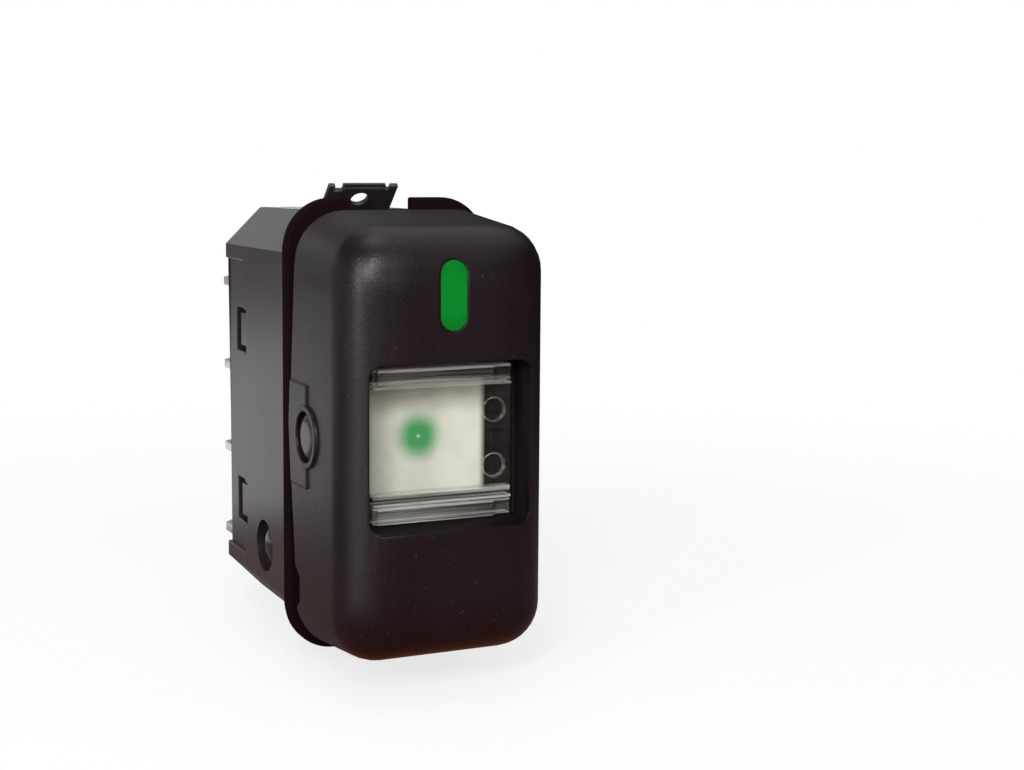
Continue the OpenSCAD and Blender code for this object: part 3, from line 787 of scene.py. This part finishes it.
class PieceMesh:
    """A bmesh on its way to becoming a finished piece.

    SHORTEST, ROOM and CLEAR are lengths in widths of the rounding: the shortest edge that is rounded,
    the least face beside it, and how far edges that stay keep from a place where roundings collide.
    """

    WELD_MM = 0.0005
    SEAM_MM = 0.001
    FLAT_DEG = 0.4
    ROUND_FROM_DEG = 28.0
    SMOOTH_BELOW_DEG = 32.0
    SHORTEST = 3.0
    ROOM = 2.6
    CLEAR = 3.0
    TRIES = 12
    LEAST_CROSS_M2 = 2e-9
    LEAST_AGREEMENT = 0.2
    TOUCH = 1e-9
    LATHE_STEPS = 24
    WIRE_SIDES = 8

    def __init__(self) -> None:
        """Starts empty."""
        self.bm = bmesh.new()

    @classmethod
    def of_node(cls, node: bpy.types.Object) -> "PieceMesh":
        """A merged copy of a CAD node's triangles, with flat areas joined into single faces.

        Args:
            node: The CAD node's object.

        Returns:
            The copy.
        """
        made = cls()
        made.bm.from_mesh(node.data)
        bmesh.ops.remove_doubles(made.bm, verts=made.bm.verts, dist=cls.WELD_MM * MM)
        bmesh.ops.dissolve_degenerate(made.bm, edges=made.bm.edges, dist=cls.WELD_MM * MM)
        flat = math.radians(cls.FLAT_DEG)
        bmesh.ops.dissolve_limit(
            made.bm, angle_limit=flat, verts=made.bm.verts, edges=made.bm.edges
        )
        return made

    def soften(self, width_mm: float, segments: int = 2) -> None:
        """Rounds the sharp edges that have room for it.

        Edges whose roundings collide are left out, and the rest are tried again.

        Args:
            width_mm: How far the rounding reaches from each edge.
            segments: Steps across the rounding.
        """
        limit, width = math.radians(self.ROUND_FROM_DEG), width_mm * MM
        self.bm.edges.index_update()
        wanted = [
            edge.index
            for edge in self.bm.edges
            if len(edge.link_faces) == 2
            and edge.calc_face_angle(0.0) >= limit
            and edge.calc_length() >= self.SHORTEST * width
            and self._has_room(edge, self.ROOM * width)
        ]
        for turn in range(self.TRIES):
            trial = self.bm.copy()
            trial.edges.ensure_lookup_table()
            self._bevel(trial, [trial.edges[i] for i in wanted], width_mm, segments)
            spots = self._crossings(trial) + self._folds(trial)
            if not spots:
                self.bm.free()
                self.bm = trial
                return
            trial.free()
            self.bm.edges.ensure_lookup_table()
            clear = (self.CLEAR + turn) * width
            wanted = [i for i in wanted if self._away(self.bm.edges[i], spots, clear)]
        LOG.info("rounding of %.2f mm left out", width_mm)

    def round_where(
        self, wanted: Callable[[bmesh.types.BMEdge], bool], width_mm: float, segments: int
    ) -> None:
        """Rounds the edges that pass a test.

        Args:
            wanted: The test.
            width_mm: How far the rounding reaches from each edge.
            segments: Steps across the rounding.
        """
        chosen = [edge for edge in self.bm.edges if len(edge.link_faces) == 2 and wanted(edge)]
        self._bevel(self.bm, chosen, width_mm, segments)

    @staticmethod
    def _bevel(
        bm: bmesh.types.BMesh, edges: List[bmesh.types.BMEdge], width_mm: float, segments: int
    ) -> None:
        """Bevels edges to a round section.

        Args:
            bm: The mesh that the edges belong to.
            edges: The edges.
            width_mm: How far the rounding reaches from each edge.
            segments: Steps across the rounding.
        """
        bmesh.ops.bevel(
            bm, geom=edges, offset=width_mm * MM, offset_type="OFFSET", affect="EDGES",
            segments=segments, profile=0.5, material=-1, clamp_overlap=False,
        )

    @staticmethod
    def _crossings(bm: bmesh.types.BMesh) -> List[Vector]:
        """Places where a face's outline crosses itself.

        Args:
            bm: The mesh to look at.

        Returns:
            Where each crossing lies.
        """
        spots: List[Vector] = []
        for face in bm.faces:
            count = len(face.verts)
            if count < 4:
                continue
            flat = max(range(3), key=lambda k: abs(face.normal[k]))
            keep = [k for k in range(3) if k != flat]
            points = [vert.co for vert in face.verts]
            plan = [Vector((p[keep[0]], p[keep[1]])) / MM for p in points]
            for i in range(count - 2):
                for j in range(i + 2, count - (1 if i == 0 else 0)):
                    other = plan[j], plan[(j + 1) % count]
                    share = PieceMesh._crossing(plan[i], plan[i + 1], *other)
                    if share is not None:
                        spots.append(points[i].lerp(points[i + 1], share))
        return spots

    @staticmethod
    def _folds(bm: bmesh.types.BMesh) -> List[Vector]:
        """Centres of the triangles that turn away from their face.

        Args:
            bm: The mesh to look at.

        Returns:
            Where each such triangle lies.
        """
        spots: List[Vector] = []
        for triangle in bm.calc_loop_triangles():
            a, b, c = (loop.vert.co for loop in triangle)
            turned = (b - a).cross(c - a)
            agreement = turned.normalized().dot(triangle[0].face.normal)
            if turned.length > PieceMesh.LEAST_CROSS_M2 and agreement < PieceMesh.LEAST_AGREEMENT:
                spots.append((a + b + c) / 3.0)
        return spots

    @staticmethod
    def _crossing(a: Vector, b: Vector, c: Vector, d: Vector) -> Optional[float]:
        """Where line a-b is crossed by line c-d.

        Args:
            a: Start of the first line, in millimetres.
            b: Its end.
            c: Start of the second line.
            d: Its end.

        Returns:
            The share of the way from a to b, or None where they only touch or stay apart.
        """
        at_a, at_b = (d - c).cross(a - c), (d - c).cross(b - c)
        at_c, at_d = (b - a).cross(c - a), (b - a).cross(d - a)
        if at_a * at_b > -PieceMesh.TOUCH or at_c * at_d > -PieceMesh.TOUCH:
            return None
        return at_a / (at_a - at_b)

    @staticmethod
    def _away(edge: bmesh.types.BMEdge, spots: Sequence[Vector], reach: float) -> bool:
        """Whether an edge keeps away from every spot.

        Args:
            edge: The edge.
            spots: The places to keep away from.
            reach: The least distance, in metres.

        Returns:
            True where none is nearer.
        """
        start, end = (vert.co for vert in edge.verts)
        for spot in spots:
            near, share = intersect_point_line(spot, start, end)
            near = start if share < 0.0 else end if share > 1.0 else near
            if (near - spot).length < reach:
                return False
        return True

    @staticmethod
    def _has_room(edge: bmesh.types.BMEdge, room: float) -> bool:
        """Whether both faces beside an edge reach far enough from it.

        Args:
            edge: The edge.
            room: The least reach, in metres.

        Returns:
            True where both do.
        """
        start = edge.verts[0].co
        along = (edge.verts[1].co - start).normalized()
        for face in edge.link_faces:
            ways = [vert.co - start for vert in face.verts]
            if max((way - along * way.dot(along)).length for way in ways) < room:
                return False
        return True

    def lathe(self, profile: Sequence[Pair], at: Vec3) -> None:
        """Spins a profile of (radius, y) points, in millimetres, about a line along Y.

        Args:
            profile: Points from one end of the axis to the other.
            at: The point on the axis that the profile is measured from.
        """
        places = [Vector((at[0] + r, at[1] + y, at[2])) * MM for r, y in profile]
        points = [self.bm.verts.new(place) for place in places]
        edges = [self.bm.edges.new(pair) for pair in zip(points, points[1:])]
        bmesh.ops.spin(
            self.bm, geom=points + edges, cent=Vector(at) * MM, axis=(0.0, 1.0, 0.0),
            angle=2.0 * math.pi, steps=self.LATHE_STEPS, use_merge=True,
        )
        bmesh.ops.remove_doubles(self.bm, verts=self.bm.verts, dist=self.SEAM_MM * MM)
        bmesh.ops.recalc_face_normals(self.bm, faces=self.bm.faces)

    def wire(self, points: Sequence[Vec3], thick_mm: float) -> None:
        """Runs a round wire through points given in millimetres.

        Args:
            points: The wire's line.
            thick_mm: Its diameter.
        """
        line = [Vector(p) * MM for p in points]
        first = (line[1] - line[0]).normalized()
        facing = first.to_track_quat("Z", "Y").to_matrix().to_4x4()
        ring = bmesh.ops.create_circle(
            self.bm, cap_ends=True, segments=self.WIRE_SIDES, radius=thick_mm * MM / 2.0,
            matrix=Matrix.Translation(line[0]) @ facing,
        )["verts"]
        cap = [f for f in self.bm.faces if all(v in ring for v in f.verts)]
        heading = first
        for here, there in zip(line, line[1:]):
            ahead = (there - here).normalized()
            turn = heading.rotation_difference(ahead)
            bmesh.ops.rotate(self.bm, verts=ring, cent=here, matrix=turn.to_matrix())
            grown = bmesh.ops.extrude_face_region(self.bm, geom=cap)["geom"]
            ring = [g for g in grown if isinstance(g, bmesh.types.BMVert)]
            cap = [g for g in grown if isinstance(g, bmesh.types.BMFace)]
            bmesh.ops.translate(self.bm, verts=ring, vec=there - here)
            heading = ahead
        bmesh.ops.recalc_face_normals(self.bm, faces=self.bm.faces)

    def finish(
        self,
        name: str,
        body: Body,
        finish: Finish,
        slot: str,
        stands_for: Sequence[str] = (),
        stretch: Optional[Stretch] = None,
    ) -> bpy.types.Object:
        """Turns the mesh into a piece that rides on a body, or on none when it is given a stretch.

        Args:
            name: The piece's name.
            body: The body that carries it.
            finish: Its surface.
            slot: Not used.
            stands_for: CAD nodes that it replaces.
            stretch: The other body, for a piece between two; such a piece is left on no body.

        Returns:
            The piece's object.
        """
        for face in self.bm.faces:
            face.smooth = True
        limit = math.radians(self.SMOOTH_BELOW_DEG)
        for edge in self.bm.edges:
            edge.smooth = len(edge.link_faces) == 2 and edge.calc_face_angle(0.0) < limit
        mesh = bpy.data.meshes.new(name)
        self.bm.to_mesh(mesh)
        self.bm.free()
        piece = bpy.data.objects.new(name, mesh)
        bpy.context.scene.collection.objects.link(piece)
        mesh.materials.append(finish.material())
        weighted = piece.modifiers.new("even_normals", "WEIGHTED_NORMAL")
        weighted.keep_sharp = True
        if stretch is None:
            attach(piece, body.value)
        else:
            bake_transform(piece)
        if stands_for:
            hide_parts(*stands_for)
        LOG.info("%s: %d faces on %s", name, len(mesh.polygons), body.value)
        return piece


@dataclass
class SubAssembly:
    """Pieces that are built and dressed together."""

    nodes: Dict[str, bpy.types.Object]

    def dress(
        self,
        node: str,
        body: Body,
        finish: Finish,
        slot: str,
        radius_mm: float = 0.0,
        segments: int = 2,
    ) -> bpy.types.Object:
        """Stands a finished copy in for a CAD node.

        Args:
            node: The CAD node.
            body: The body that carries it.
            finish: Its surface.
            slot: A material slot name, passed on to finish.
            radius_mm: Size of the edge rounding, or 0 for none.
            segments: Steps across the rounding.

        Returns:
            The new piece.
        """
        mesh = PieceMesh.of_node(self.nodes[node])
        if radius_mm > 0.0:
            mesh.soften(radius_mm, segments)
        return mesh.finish(node + "_dressed", body, finish, slot, (node,))

    def build(self) -> None:
        """Builds every piece of the sub-assembly."""
        raise NotImplementedError


@dataclass
class Housing(SubAssembly):
    """The black housing with its two side studs."""

    edge_mm: float = 0.12
    stud_edge_mm: float = 0.1
    flange_size: Pair = (17.24, 36.3)
    flange_corner: float = 4.0
    flange_front: float = -1.0
    front_slack: float = 0.01
    rim_slack: float = 0.03
    flange_round: float = 0.3
    flange_steps: int = 3
    flange_shade_span: Pair = (-1.05, -0.02)

    def on_flange_rim(self, edge: bmesh.types.BMEdge) -> bool:
        """Whether an edge lies on the outline of the flange's front face.

        Args:
            edge: An edge of the housing.

        Returns:
            True where both its ends do.
        """
        for vert in edge.verts:
            here = vert.co / MM
            across = abs(here.x) - self.flange_size[0] / 2.0 + self.flange_corner
            along = abs(here.z) - self.flange_size[1] / 2.0 + self.flange_corner
            away = math.hypot(max(across, 0.0), max(along, 0.0)) + min(max(across, along), 0.0)
            if abs(here.y - self.flange_front) > self.front_slack:
                return False
            if abs(away - self.flange_corner) > self.rim_slack:
                return False
        return True

    def build(self) -> None:
        """Dresses the housing, with a well rounded flange whose front carries painted shade, and the
        studs.
        """
        mesh = PieceMesh.of_node(self.nodes["housing"])
        mesh.round_where(self.on_flange_rim, self.flange_round, self.flange_steps)
        mesh.soften(self.edge_mm)
        shell = mesh.finish(
            "housing_dressed", Body.HOUSING, HOUSING_BLACK, "black_plastic", ("housing",)
        )
        shell.data.materials.append(FLANGE_PAINTED_SHADE.material())
        # Painted shade: faces at the flange's depth take the darker black.
        low, high = self.flange_shade_span
        for face in shell.data.polygons:
            face.material_index = int(low < face.center.y / MM < high)
        for side in ("left", "right"):
            stud = "side_stud_" + side
            self.dress(stud, Body.HOUSING, STUD_BLACK, "black_plastic", self.stud_edge_mm)


@dataclass
class RockerCap(SubAssembly):
    """The rocker cap and its green indicator."""

    edge_mm: float = 0.12
    window_half: Pair = (6.6, 6.4)
    window_deep: Pair = (-13.8, -8.5)
    facing_slack: float = 0.01

    def in_window(self, face: bpy.types.MeshPolygon) -> bool:
        """Whether a face is a wall of the window, in its box and looking towards its middle; these walls
        get painted shade.

        Args:
            face: A face of the cap.

        Returns:
            True for a wall of the window.
        """
        here, (low, high) = face.center / MM, self.window_deep
        wide, tall = self.window_half
        inside = abs(here.x) < wide and abs(here.z) < tall and low < here.y < high
        return inside and here.x * face.normal.x + here.z * face.normal.z < self.facing_slack

    def build(self) -> None:
        """Dresses the cap, with painted shade on the window's walls, and the indicator lens."""
        cap = self.dress("rocker_cap", Body.ROCKER, CAP_BLACK, "cap_plastic", self.edge_mm)
        cap.data.materials.append(POCKET_PAINTED_SHADE.material())
        # Painted shade: the window's walls take the darker black.
        for face in cap.data.polygons:
            face.material_index = int(self.in_window(face))
        self.dress("indicator_lens", Body.ROCKER, INDICATOR_GREEN, "green_lens", self.edge_mm)


@dataclass
class LegendWindow(SubAssembly):
    """The clear lens over the milky legend sheet."""

    lens_edge_mm: float = 0.1
    lens_steps: int = 3
    sheet_edge_mm: float = 0.05

    def build(self) -> None:
        """Dresses the lens and the sheet."""
        edge = self.lens_edge_mm, self.lens_steps
        self.dress("legend_lens", Body.ROCKER, LENS_CLEAR, "clear_lens", *edge)
        sheet = "legend_diffuser"
        self.dress(sheet, Body.ROCKER, LEGEND_WHITE, "white_plastic", self.sheet_edge_mm)


@dataclass
class TerminalBank(SubAssembly):
    """The pale block with its five blades."""

    edge_mm: float = 0.1
    blades: Tuple[str, ...] = ("upper", "common", "lower", "lamp_feed", "lamp_return")
    bar_from: float = 16.35
    slots: Tuple[float, ...] = (-2.32, 5.38, 13.08)
    slot_half: float = 0.8
    slot_wide: Pair = (0.0, 7.1)
    slot_deep: Pair = (12.3, 16.27)

    def shade_of(self, place: Vector) -> int:
        """Which of the block's materials a place has: 0 plain, 1 painted warm light on the keying bar, 2
        painted shade in an empty slot.

        Args:
            place: A face's centre.

        Returns:
            The material's index.
        """
        here, (left, right), (low, high) = place / MM, self.slot_wide, self.slot_deep
        if here.y > self.bar_from:
            return 1
        in_slot = any(abs(here.z - slot) < self.slot_half for slot in self.slots)
        return 2 if in_slot and left < here.x < right and low < here.y < high else 0

    def build(self) -> None:
        """Dresses the block, with painted warm light on its keying bar and painted shade in its empty
        slots, and each blade.
        """
        block = self.dress("terminal_block", Body.HOUSING, MINT_NYLON, "pale_nylon", self.edge_mm)
        # Painted warm light on the keying bar and painted shade in the empty slots.
        for finish in (BAR_PAINTED_LIGHT, SLOT_PAINTED_SHADE):
            block.data.materials.append(finish.material())
        for face in block.data.polygons:
            face.material_index = self.shade_of(face.center)
        for blade in self.blades:
            self.dress("terminal_" + blade, Body.HOUSING, TIN_PLATE, "tinned_brass", self.edge_mm)


@dataclass
class PanelClips(SubAssembly):
    """The two blued spring clips."""

    edge_mm: float = 0.06

    def build(self) -> None:
        """Dresses both clips."""
        for end in ("top", "bottom"):
            self.dress(end + "_clip", Body.HOUSING, BLUED_STEEL, "spring_steel", self.edge_mm)


@dataclass
class ContactWorks(SubAssembly):
    """Plunger, spring, see-saw and contacts."""

    edge_mm: float = 0.06
    spring_axis: Pair = (-3.6, 0.0)
    spring_ends: Pair = (-6.9, -3.3)

    def build(self) -> None:
        """Dresses the works, and the spring between the cap's stem and the plunger."""
        self.dress("plunger", Body.PLUNGER, PLUNGER_IVORY, "plunger_plastic", self.edge_mm)
        self.dress("contact_rocker", Body.SEE_SAW, BRASS_STRIP, "brass_strip", self.edge_mm)
        for place in ("upper", "lower"):
            for kind, body in (("moving", Body.SEE_SAW), ("fixed", Body.HOUSING)):
                contact = f"{kind}_contact_{place}"
                self.dress(contact, body, CONTACT_SILVER, "contact_silver", self.edge_mm)
        across, high = self.spring_axis
        ends = [(across, end, high) for end in self.spring_ends]
        PieceMesh.of_node(self.nodes["plunger_spring"]).finish(
            "plunger_spring_dressed", Body.ROCKER, SPRING_WIRE, "spring_wire", ("plunger_spring",),
            Stretch(Body.PLUNGER, *ends),
        )


@dataclass
class LampSet(SubAssembly):
    """Lamp board, its two bulbs with their filaments, the green boot and the solder."""

    edge_mm: float = 0.05
    lamps: Tuple[str, str] = ("legend_lamp", "indicator_lamp")
    filament_mm: float = 0.08
    wire_base: float = 0.1
    wire_top: float = 1.1
    wire_spread: float = 0.35
    wire_bend: float = 0.3
    wire_lean: float = 0.1
    solder_r: float = 0.75
    solder_h: float = 0.35
    solder_tip: float = 0.3
    solder_waist: float = 0.45
    solder_rim: float = 0.02

    def build(self) -> None:
        """Dresses the board and the lamps, and adds what is too fine for the frame."""
        self.dress("lamp_board", Body.HOUSING, BOARD_BROWN, "board_laminate", self.edge_mm)
        for lamp in self.lamps:
            self.dress(lamp, Body.HOUSING, BULB_GLASS, "lamp_glass")
        self.dress("legend_lamp_boot", Body.HOUSING, BOOT_GREEN, "green_rubber")
        for lamp in self.lamps:
            self.filament(lamp)
        for leg in ("lamp_feed", "lamp_return"):
            self.solder(leg)

    def filament(self, lamp: str) -> None:
        """Bends a bulb's support wires and filament inside its glass.

        Args:
            lamp: The bulb's node.
        """
        low, high = (Vector(v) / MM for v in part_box(lamp))
        x, z = (low.x + high.x) / 2.0, (low.z + high.z) / 2.0
        base, top = high.y - self.wire_base, low.y + self.wire_top
        bend, lean = top + self.wire_bend, self.wire_lean
        spread = self.wire_spread * (high.x - low.x) / 2.0
        mesh = PieceMesh()
        mesh.wire(
            [(x - spread, base, z), (x - spread, bend, z), (x - spread * 0.5, top, z + lean),
             (x + spread * 0.5, top, z - lean), (x + spread, bend, z), (x + spread, base, z)],
            self.filament_mm,
        )
        mesh.finish(lamp + "_filament", Body.HOUSING, TUNGSTEN, "spring_wire")

    def solder(self, leg: str) -> None:
        """Spins a fillet of solder round a lamp leg on the board's front.

        Args:
            leg: The terminal whose leg passes through the board.
        """
        low, high = (Vector(v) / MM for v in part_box("terminal_" + leg))
        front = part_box("lamp_board")[0][1] / MM
        at = ((low.x + high.x) / 2.0, front, (low.z + high.z) / 2.0)
        high, wide = self.solder_h, self.solder_r
        mesh = PieceMesh()
        mesh.lathe(
            [(0.0, -high), (self.solder_tip, -high), (self.solder_waist, -0.5 * high),
             (wide, -self.solder_rim), (wide, 0.0), (0.0, 0.0)],
            at,
        )
        mesh.finish("solder_" + leg, Body.HOUSING, SOLDER, "tinned_brass")


@dataclass(frozen=True)
class Softbox:
    """A soft lamp that faces the object.

    A level of 1 alone shows a surface that faces the lamp about as its colour is written.
    """

    name: str
    place: Vec3
    size: Pair
    level: float
    roll_deg: float = 0.0
    mirrored: bool = True

    def hang(self) -> None:
        """Adds the lamp to the scene."""
        light = bpy.data.lights.new(self.name, "AREA")
        light.shape = "RECTANGLE"
        light.size, light.size_y = (side * MM for side in self.size)
        place = Vector(self.place) * MM
        light.energy = self.level * math.pi**2 * place.length_squared
        lamp = bpy.data.objects.new(self.name, light)
        lamp.location = place
        lamp.visible_glossy = self.mirrored
        roll = Quaternion((0.0, 0.0, 1.0), math.radians(self.roll_deg))
        lamp.rotation_euler = ((-place).to_track_quat("-Z", "Y") @ roll).to_euler()
        bpy.context.scene.collection.objects.link(lamp)


@dataclass(frozen=True)
class Zone:
    """A part of the floor, with the span over which each of its sides fades."""

    left: Optional[Pair] = None
    right: Optional[Pair] = None
    front: Optional[Pair] = None
    back: Optional[Pair] = None

    def share(self, across: Socket, deep: Socket) -> Value:
        """How far a place lies in the zone.

        Args:
            across: The place's X in millimetres.
            deep: Its Y.

        Returns:
            1 well inside the zone, and 0 outside it.
        """
        share: Value = 1.0
        for place, rise, drop in ((across, self.left, self.right), (deep, self.front, self.back)):
            if rise is not None:
                share = share * place.smooth(*rise)
            if drop is not None:
                share = share * place.fall(*drop)
        return share


@dataclass
class Studio:
    """Floor, background, lamps and camera."""

    eye: Vec3 = (-48.9, -123.9, 20.69)
    ahead: Vec3 = (0.40489, 0.909, -0.09897)
    roll_deg: float = 0.24
    focal_px: float = 1649.12
    centre_px: Pair = (454.94, 329.76)
    clip_m: Pair = (0.005, 20.0)
    lamps: Tuple[Softbox, ...] = (
        Softbox("key", (-210.0, -311.0, 185.0), (55.0, 200.0), 0.74, roll_deg=-40.0),
        Softbox("strip", (-358.0, -224.0, 106.0), (60.0, 250.0), 0.45),
        Softbox("fill", (-20.0, -400.0, 190.0), (300.0, 300.0), 0.33),
        Softbox("overhead", (-70.0, -30.0, 420.0), (200.0, 200.0), 0.2),
        Softbox("back", (70.0, 430.0, 60.0), (300.0, 200.0), 0.35, mirrored=False),
    )
    ambient: float = 0.3
    dim_side: float = 0.04
    left_front: float = 0.4
    front_step: Pair = (-0.3, 0.3)
    horizon: float = 0.4
    sky: float = 0.72
    sky_step: Pair = (0.05, 0.35)
    left_step: Pair = (0.0, 0.5)
    left_above: float = 0.9
    left_above_step: Pair = (0.32, 0.46)
    above: float = 1.3
    above_step: Pair = (0.45, 0.95)
    above_side_step: Pair = (-0.4, 0.15)
    floor_z: float = -19.6
    floor_half_m: float = 3.0
    floor_per_mm: float = 0.004
    floor_seen: Tuple[Colour, Colour] = ((0.84, 0.84, 0.84), (0.88, 0.88, 0.88))
    floor_stray: Colour = (0.24, 0.175, 0.16)
    floor_rough: float = 0.9
    shadow_fade: Pair = (25.0, 160.0)
    shadow_pale: float = 0.75
    behind: Zone = Zone(right=(0.0, 60.0), front=(38.0, 66.0))
    behind_fade: Pair = (180.0, 400.0)
    behind_loss: float = 0.6
    behind_level: float = 0.9
    beside: Zone = Zone(right=(-40.0, -20.0), front=(-120.0, -60.0), back=(-25.0, 0.0))
    beside_level: float = 2.0
    in_front: Zone = Zone(
        left=(-40.0, -12.0), right=(4.0, 30.0), front=(-90.0, -40.0), back=(-10.0, 8.0)
    )
    in_front_colour: Colour = (1.0, 0.3, 0.14)
    in_front_level: float = 0.35
    hidden: Zone = Zone(left=(15.0, 60.0), front=(0.0, 40.0))
    hidden_share: float = 0.8

    def build(self) -> None:
        """Sets up everything round the object."""
        self.world()
        self.floor()
        for lamp in self.lamps:
            lamp.hang()
        self.camera()
        bpy.context.scene.view_settings.view_transform = "Standard"

    def world(self) -> None:
        """Soft light all round, and a white backdrop for what looks or mirrors past the object."""
        world = bpy.data.worlds.new("studio")
        bpy.context.scene.world = world
        graph = ShaderGraph(world)
        way = graph.node("ShaderNodeTexCoord", {}, {}, "Generated")
        across, deep, high = (graph.axis(way, name) for name in "XYZ")
        level = self.left_front + deep.smooth(*self.front_step) * (1.0 - self.left_front)
        level = level * (self.horizon + high.smooth(*self.sky_step) * (self.sky - self.horizon))
        left = across.fall(*self.left_step)
        left = left * (1.0 - high.smooth(*self.left_above_step) * self.left_above)
        above = high.smooth(*self.above_step) * across.smooth(*self.above_side_step) * self.above
        mirrored = self.dim_side + (level - self.dim_side) * left + above
        shown = (graph.ray("Glossy") + graph.ray("Transmission")).clamp()
        dim = self.ambient + (mirrored - self.ambient) * shown
        strength = dim + (1.0 - dim) * graph.ray("Camera")
        graph.close(graph.node("ShaderNodeBackground", {}, {"Color": WHITE, "Strength": strength}))

    def floor(self) -> None:
        """A wide pale floor that keeps a soft shadow."""
        cover = bpy.data.materials.new("studio_floor")
        graph = ShaderGraph(cover)
        graph.close(self.floor_shader(graph))
        bm = bmesh.new()
        bmesh.ops.create_grid(bm, x_segments=2, y_segments=2, size=self.floor_half_m)
        bmesh.ops.translate(bm, verts=bm.verts, vec=(0.0, 0.0, self.floor_z * MM))
        mesh = bpy.data.meshes.new("studio_floor")
        bm.to_mesh(mesh)
        bm.free()
        plane = bpy.data.objects.new("studio_floor", mesh)
        bpy.context.scene.collection.objects.link(plane)
        mesh.materials.append(cover)

    def floor_shader(self, graph: ShaderGraph) -> Socket:
        """Pale to the camera, duller as a source of stray light, and in zones for what mirrors it.

        Args:
            graph: The floor material's graph.

        Returns:
            The shader output.
        """
        here = graph.place()
        across, deep = graph.axis(here, "X"), graph.axis(here, "Y")
        camera = graph.ray("Camera")
        pale = graph.mix(graph.noise(here, self.floor_per_mm, 2.0), *self.floor_seen)
        colour = graph.mix(camera, self.floor_stray, pale)
        matt = graph.principled({"Base Color": colour, "Roughness": self.floor_rough})
        white = graph.node("ShaderNodeEmission", {}, {"Color": WHITE, "Strength": 1.0})
        far = across.reach(deep).smooth(*self.shadow_fade)
        bright = camera * (self.shadow_pale + far * (1.0 - self.shadow_pale))
        seen = graph.node("ShaderNodeMixShader", {}, {0: bright, 1: matt, 2: white})
        behind, beside, in_front, hidden = (
            zone.share(across, deep)
            for zone in (self.behind, self.beside, self.in_front, self.hidden)
        )
        behind = behind * (1.0 - deep.smooth(*self.behind_fade) * self.behind_loss)
        hidden = hidden * self.hidden_share
        colour = graph.mix(in_front, WHITE, self.in_front_colour)
        level = behind * self.behind_level + beside * self.beside_level
        level = level + in_front * self.in_front_level
        shine = graph.node("ShaderNodeEmission", {}, {"Color": colour, "Strength": level})
        share = graph.ray("Glossy") * (behind + beside + in_front + hidden).clamp()
        return graph.node("ShaderNodeMixShader", {}, {0: share, 1: seen, 2: shine})

    def camera(self) -> None:
        """Stands the camera where the photograph was taken from."""
        ahead = Vector(self.ahead).normalized()
        right = ahead.cross(Vector((0.0, 0.0, 1.0))).normalized()
        up = right.cross(ahead)
        roll = math.radians(self.roll_deg)
        cos, sin = math.cos(roll), math.sin(roll)
        right, up = right * cos + up * sin, up * cos - right * sin
        turn = Matrix((right, up, -ahead)).transposed().to_4x4()
        data = bpy.data.cameras.new("camera")
        data.sensor_fit = "HORIZONTAL"
        data.sensor_width = SENSOR_MM
        data.lens = self.focal_px * SENSOR_MM / IMAGE_W
        data.shift_x = (IMAGE_W / 2.0 - self.centre_px[0]) / IMAGE_W
        data.shift_y = (self.centre_px[1] - IMAGE_H / 2.0) / IMAGE_W
        data.clip_start, data.clip_end = self.clip_m
        camera = bpy.data.objects.new("camera", data)
        camera.matrix_world = Matrix.Translation(Vector(self.eye) * MM) @ turn
        bpy.context.scene.collection.objects.link(camera)
        bpy.context.scene.camera = camera


def main() -> None:
    """Builds the studio and the sub-assemblies in order, logging each piece's face count."""
    logging.basicConfig(level=logging.INFO, format="%(message)s")
    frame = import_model()
    nodes = frame["nodes"]
    Studio().build()
    for kind in (Housing, RockerCap, LegendWindow, TerminalBank, PanelClips, ContactWorks, LampSet):
        kind(nodes).build()
        LOG.info("%s done", kind.__name__)


if __name__ == "__main__":
    main()
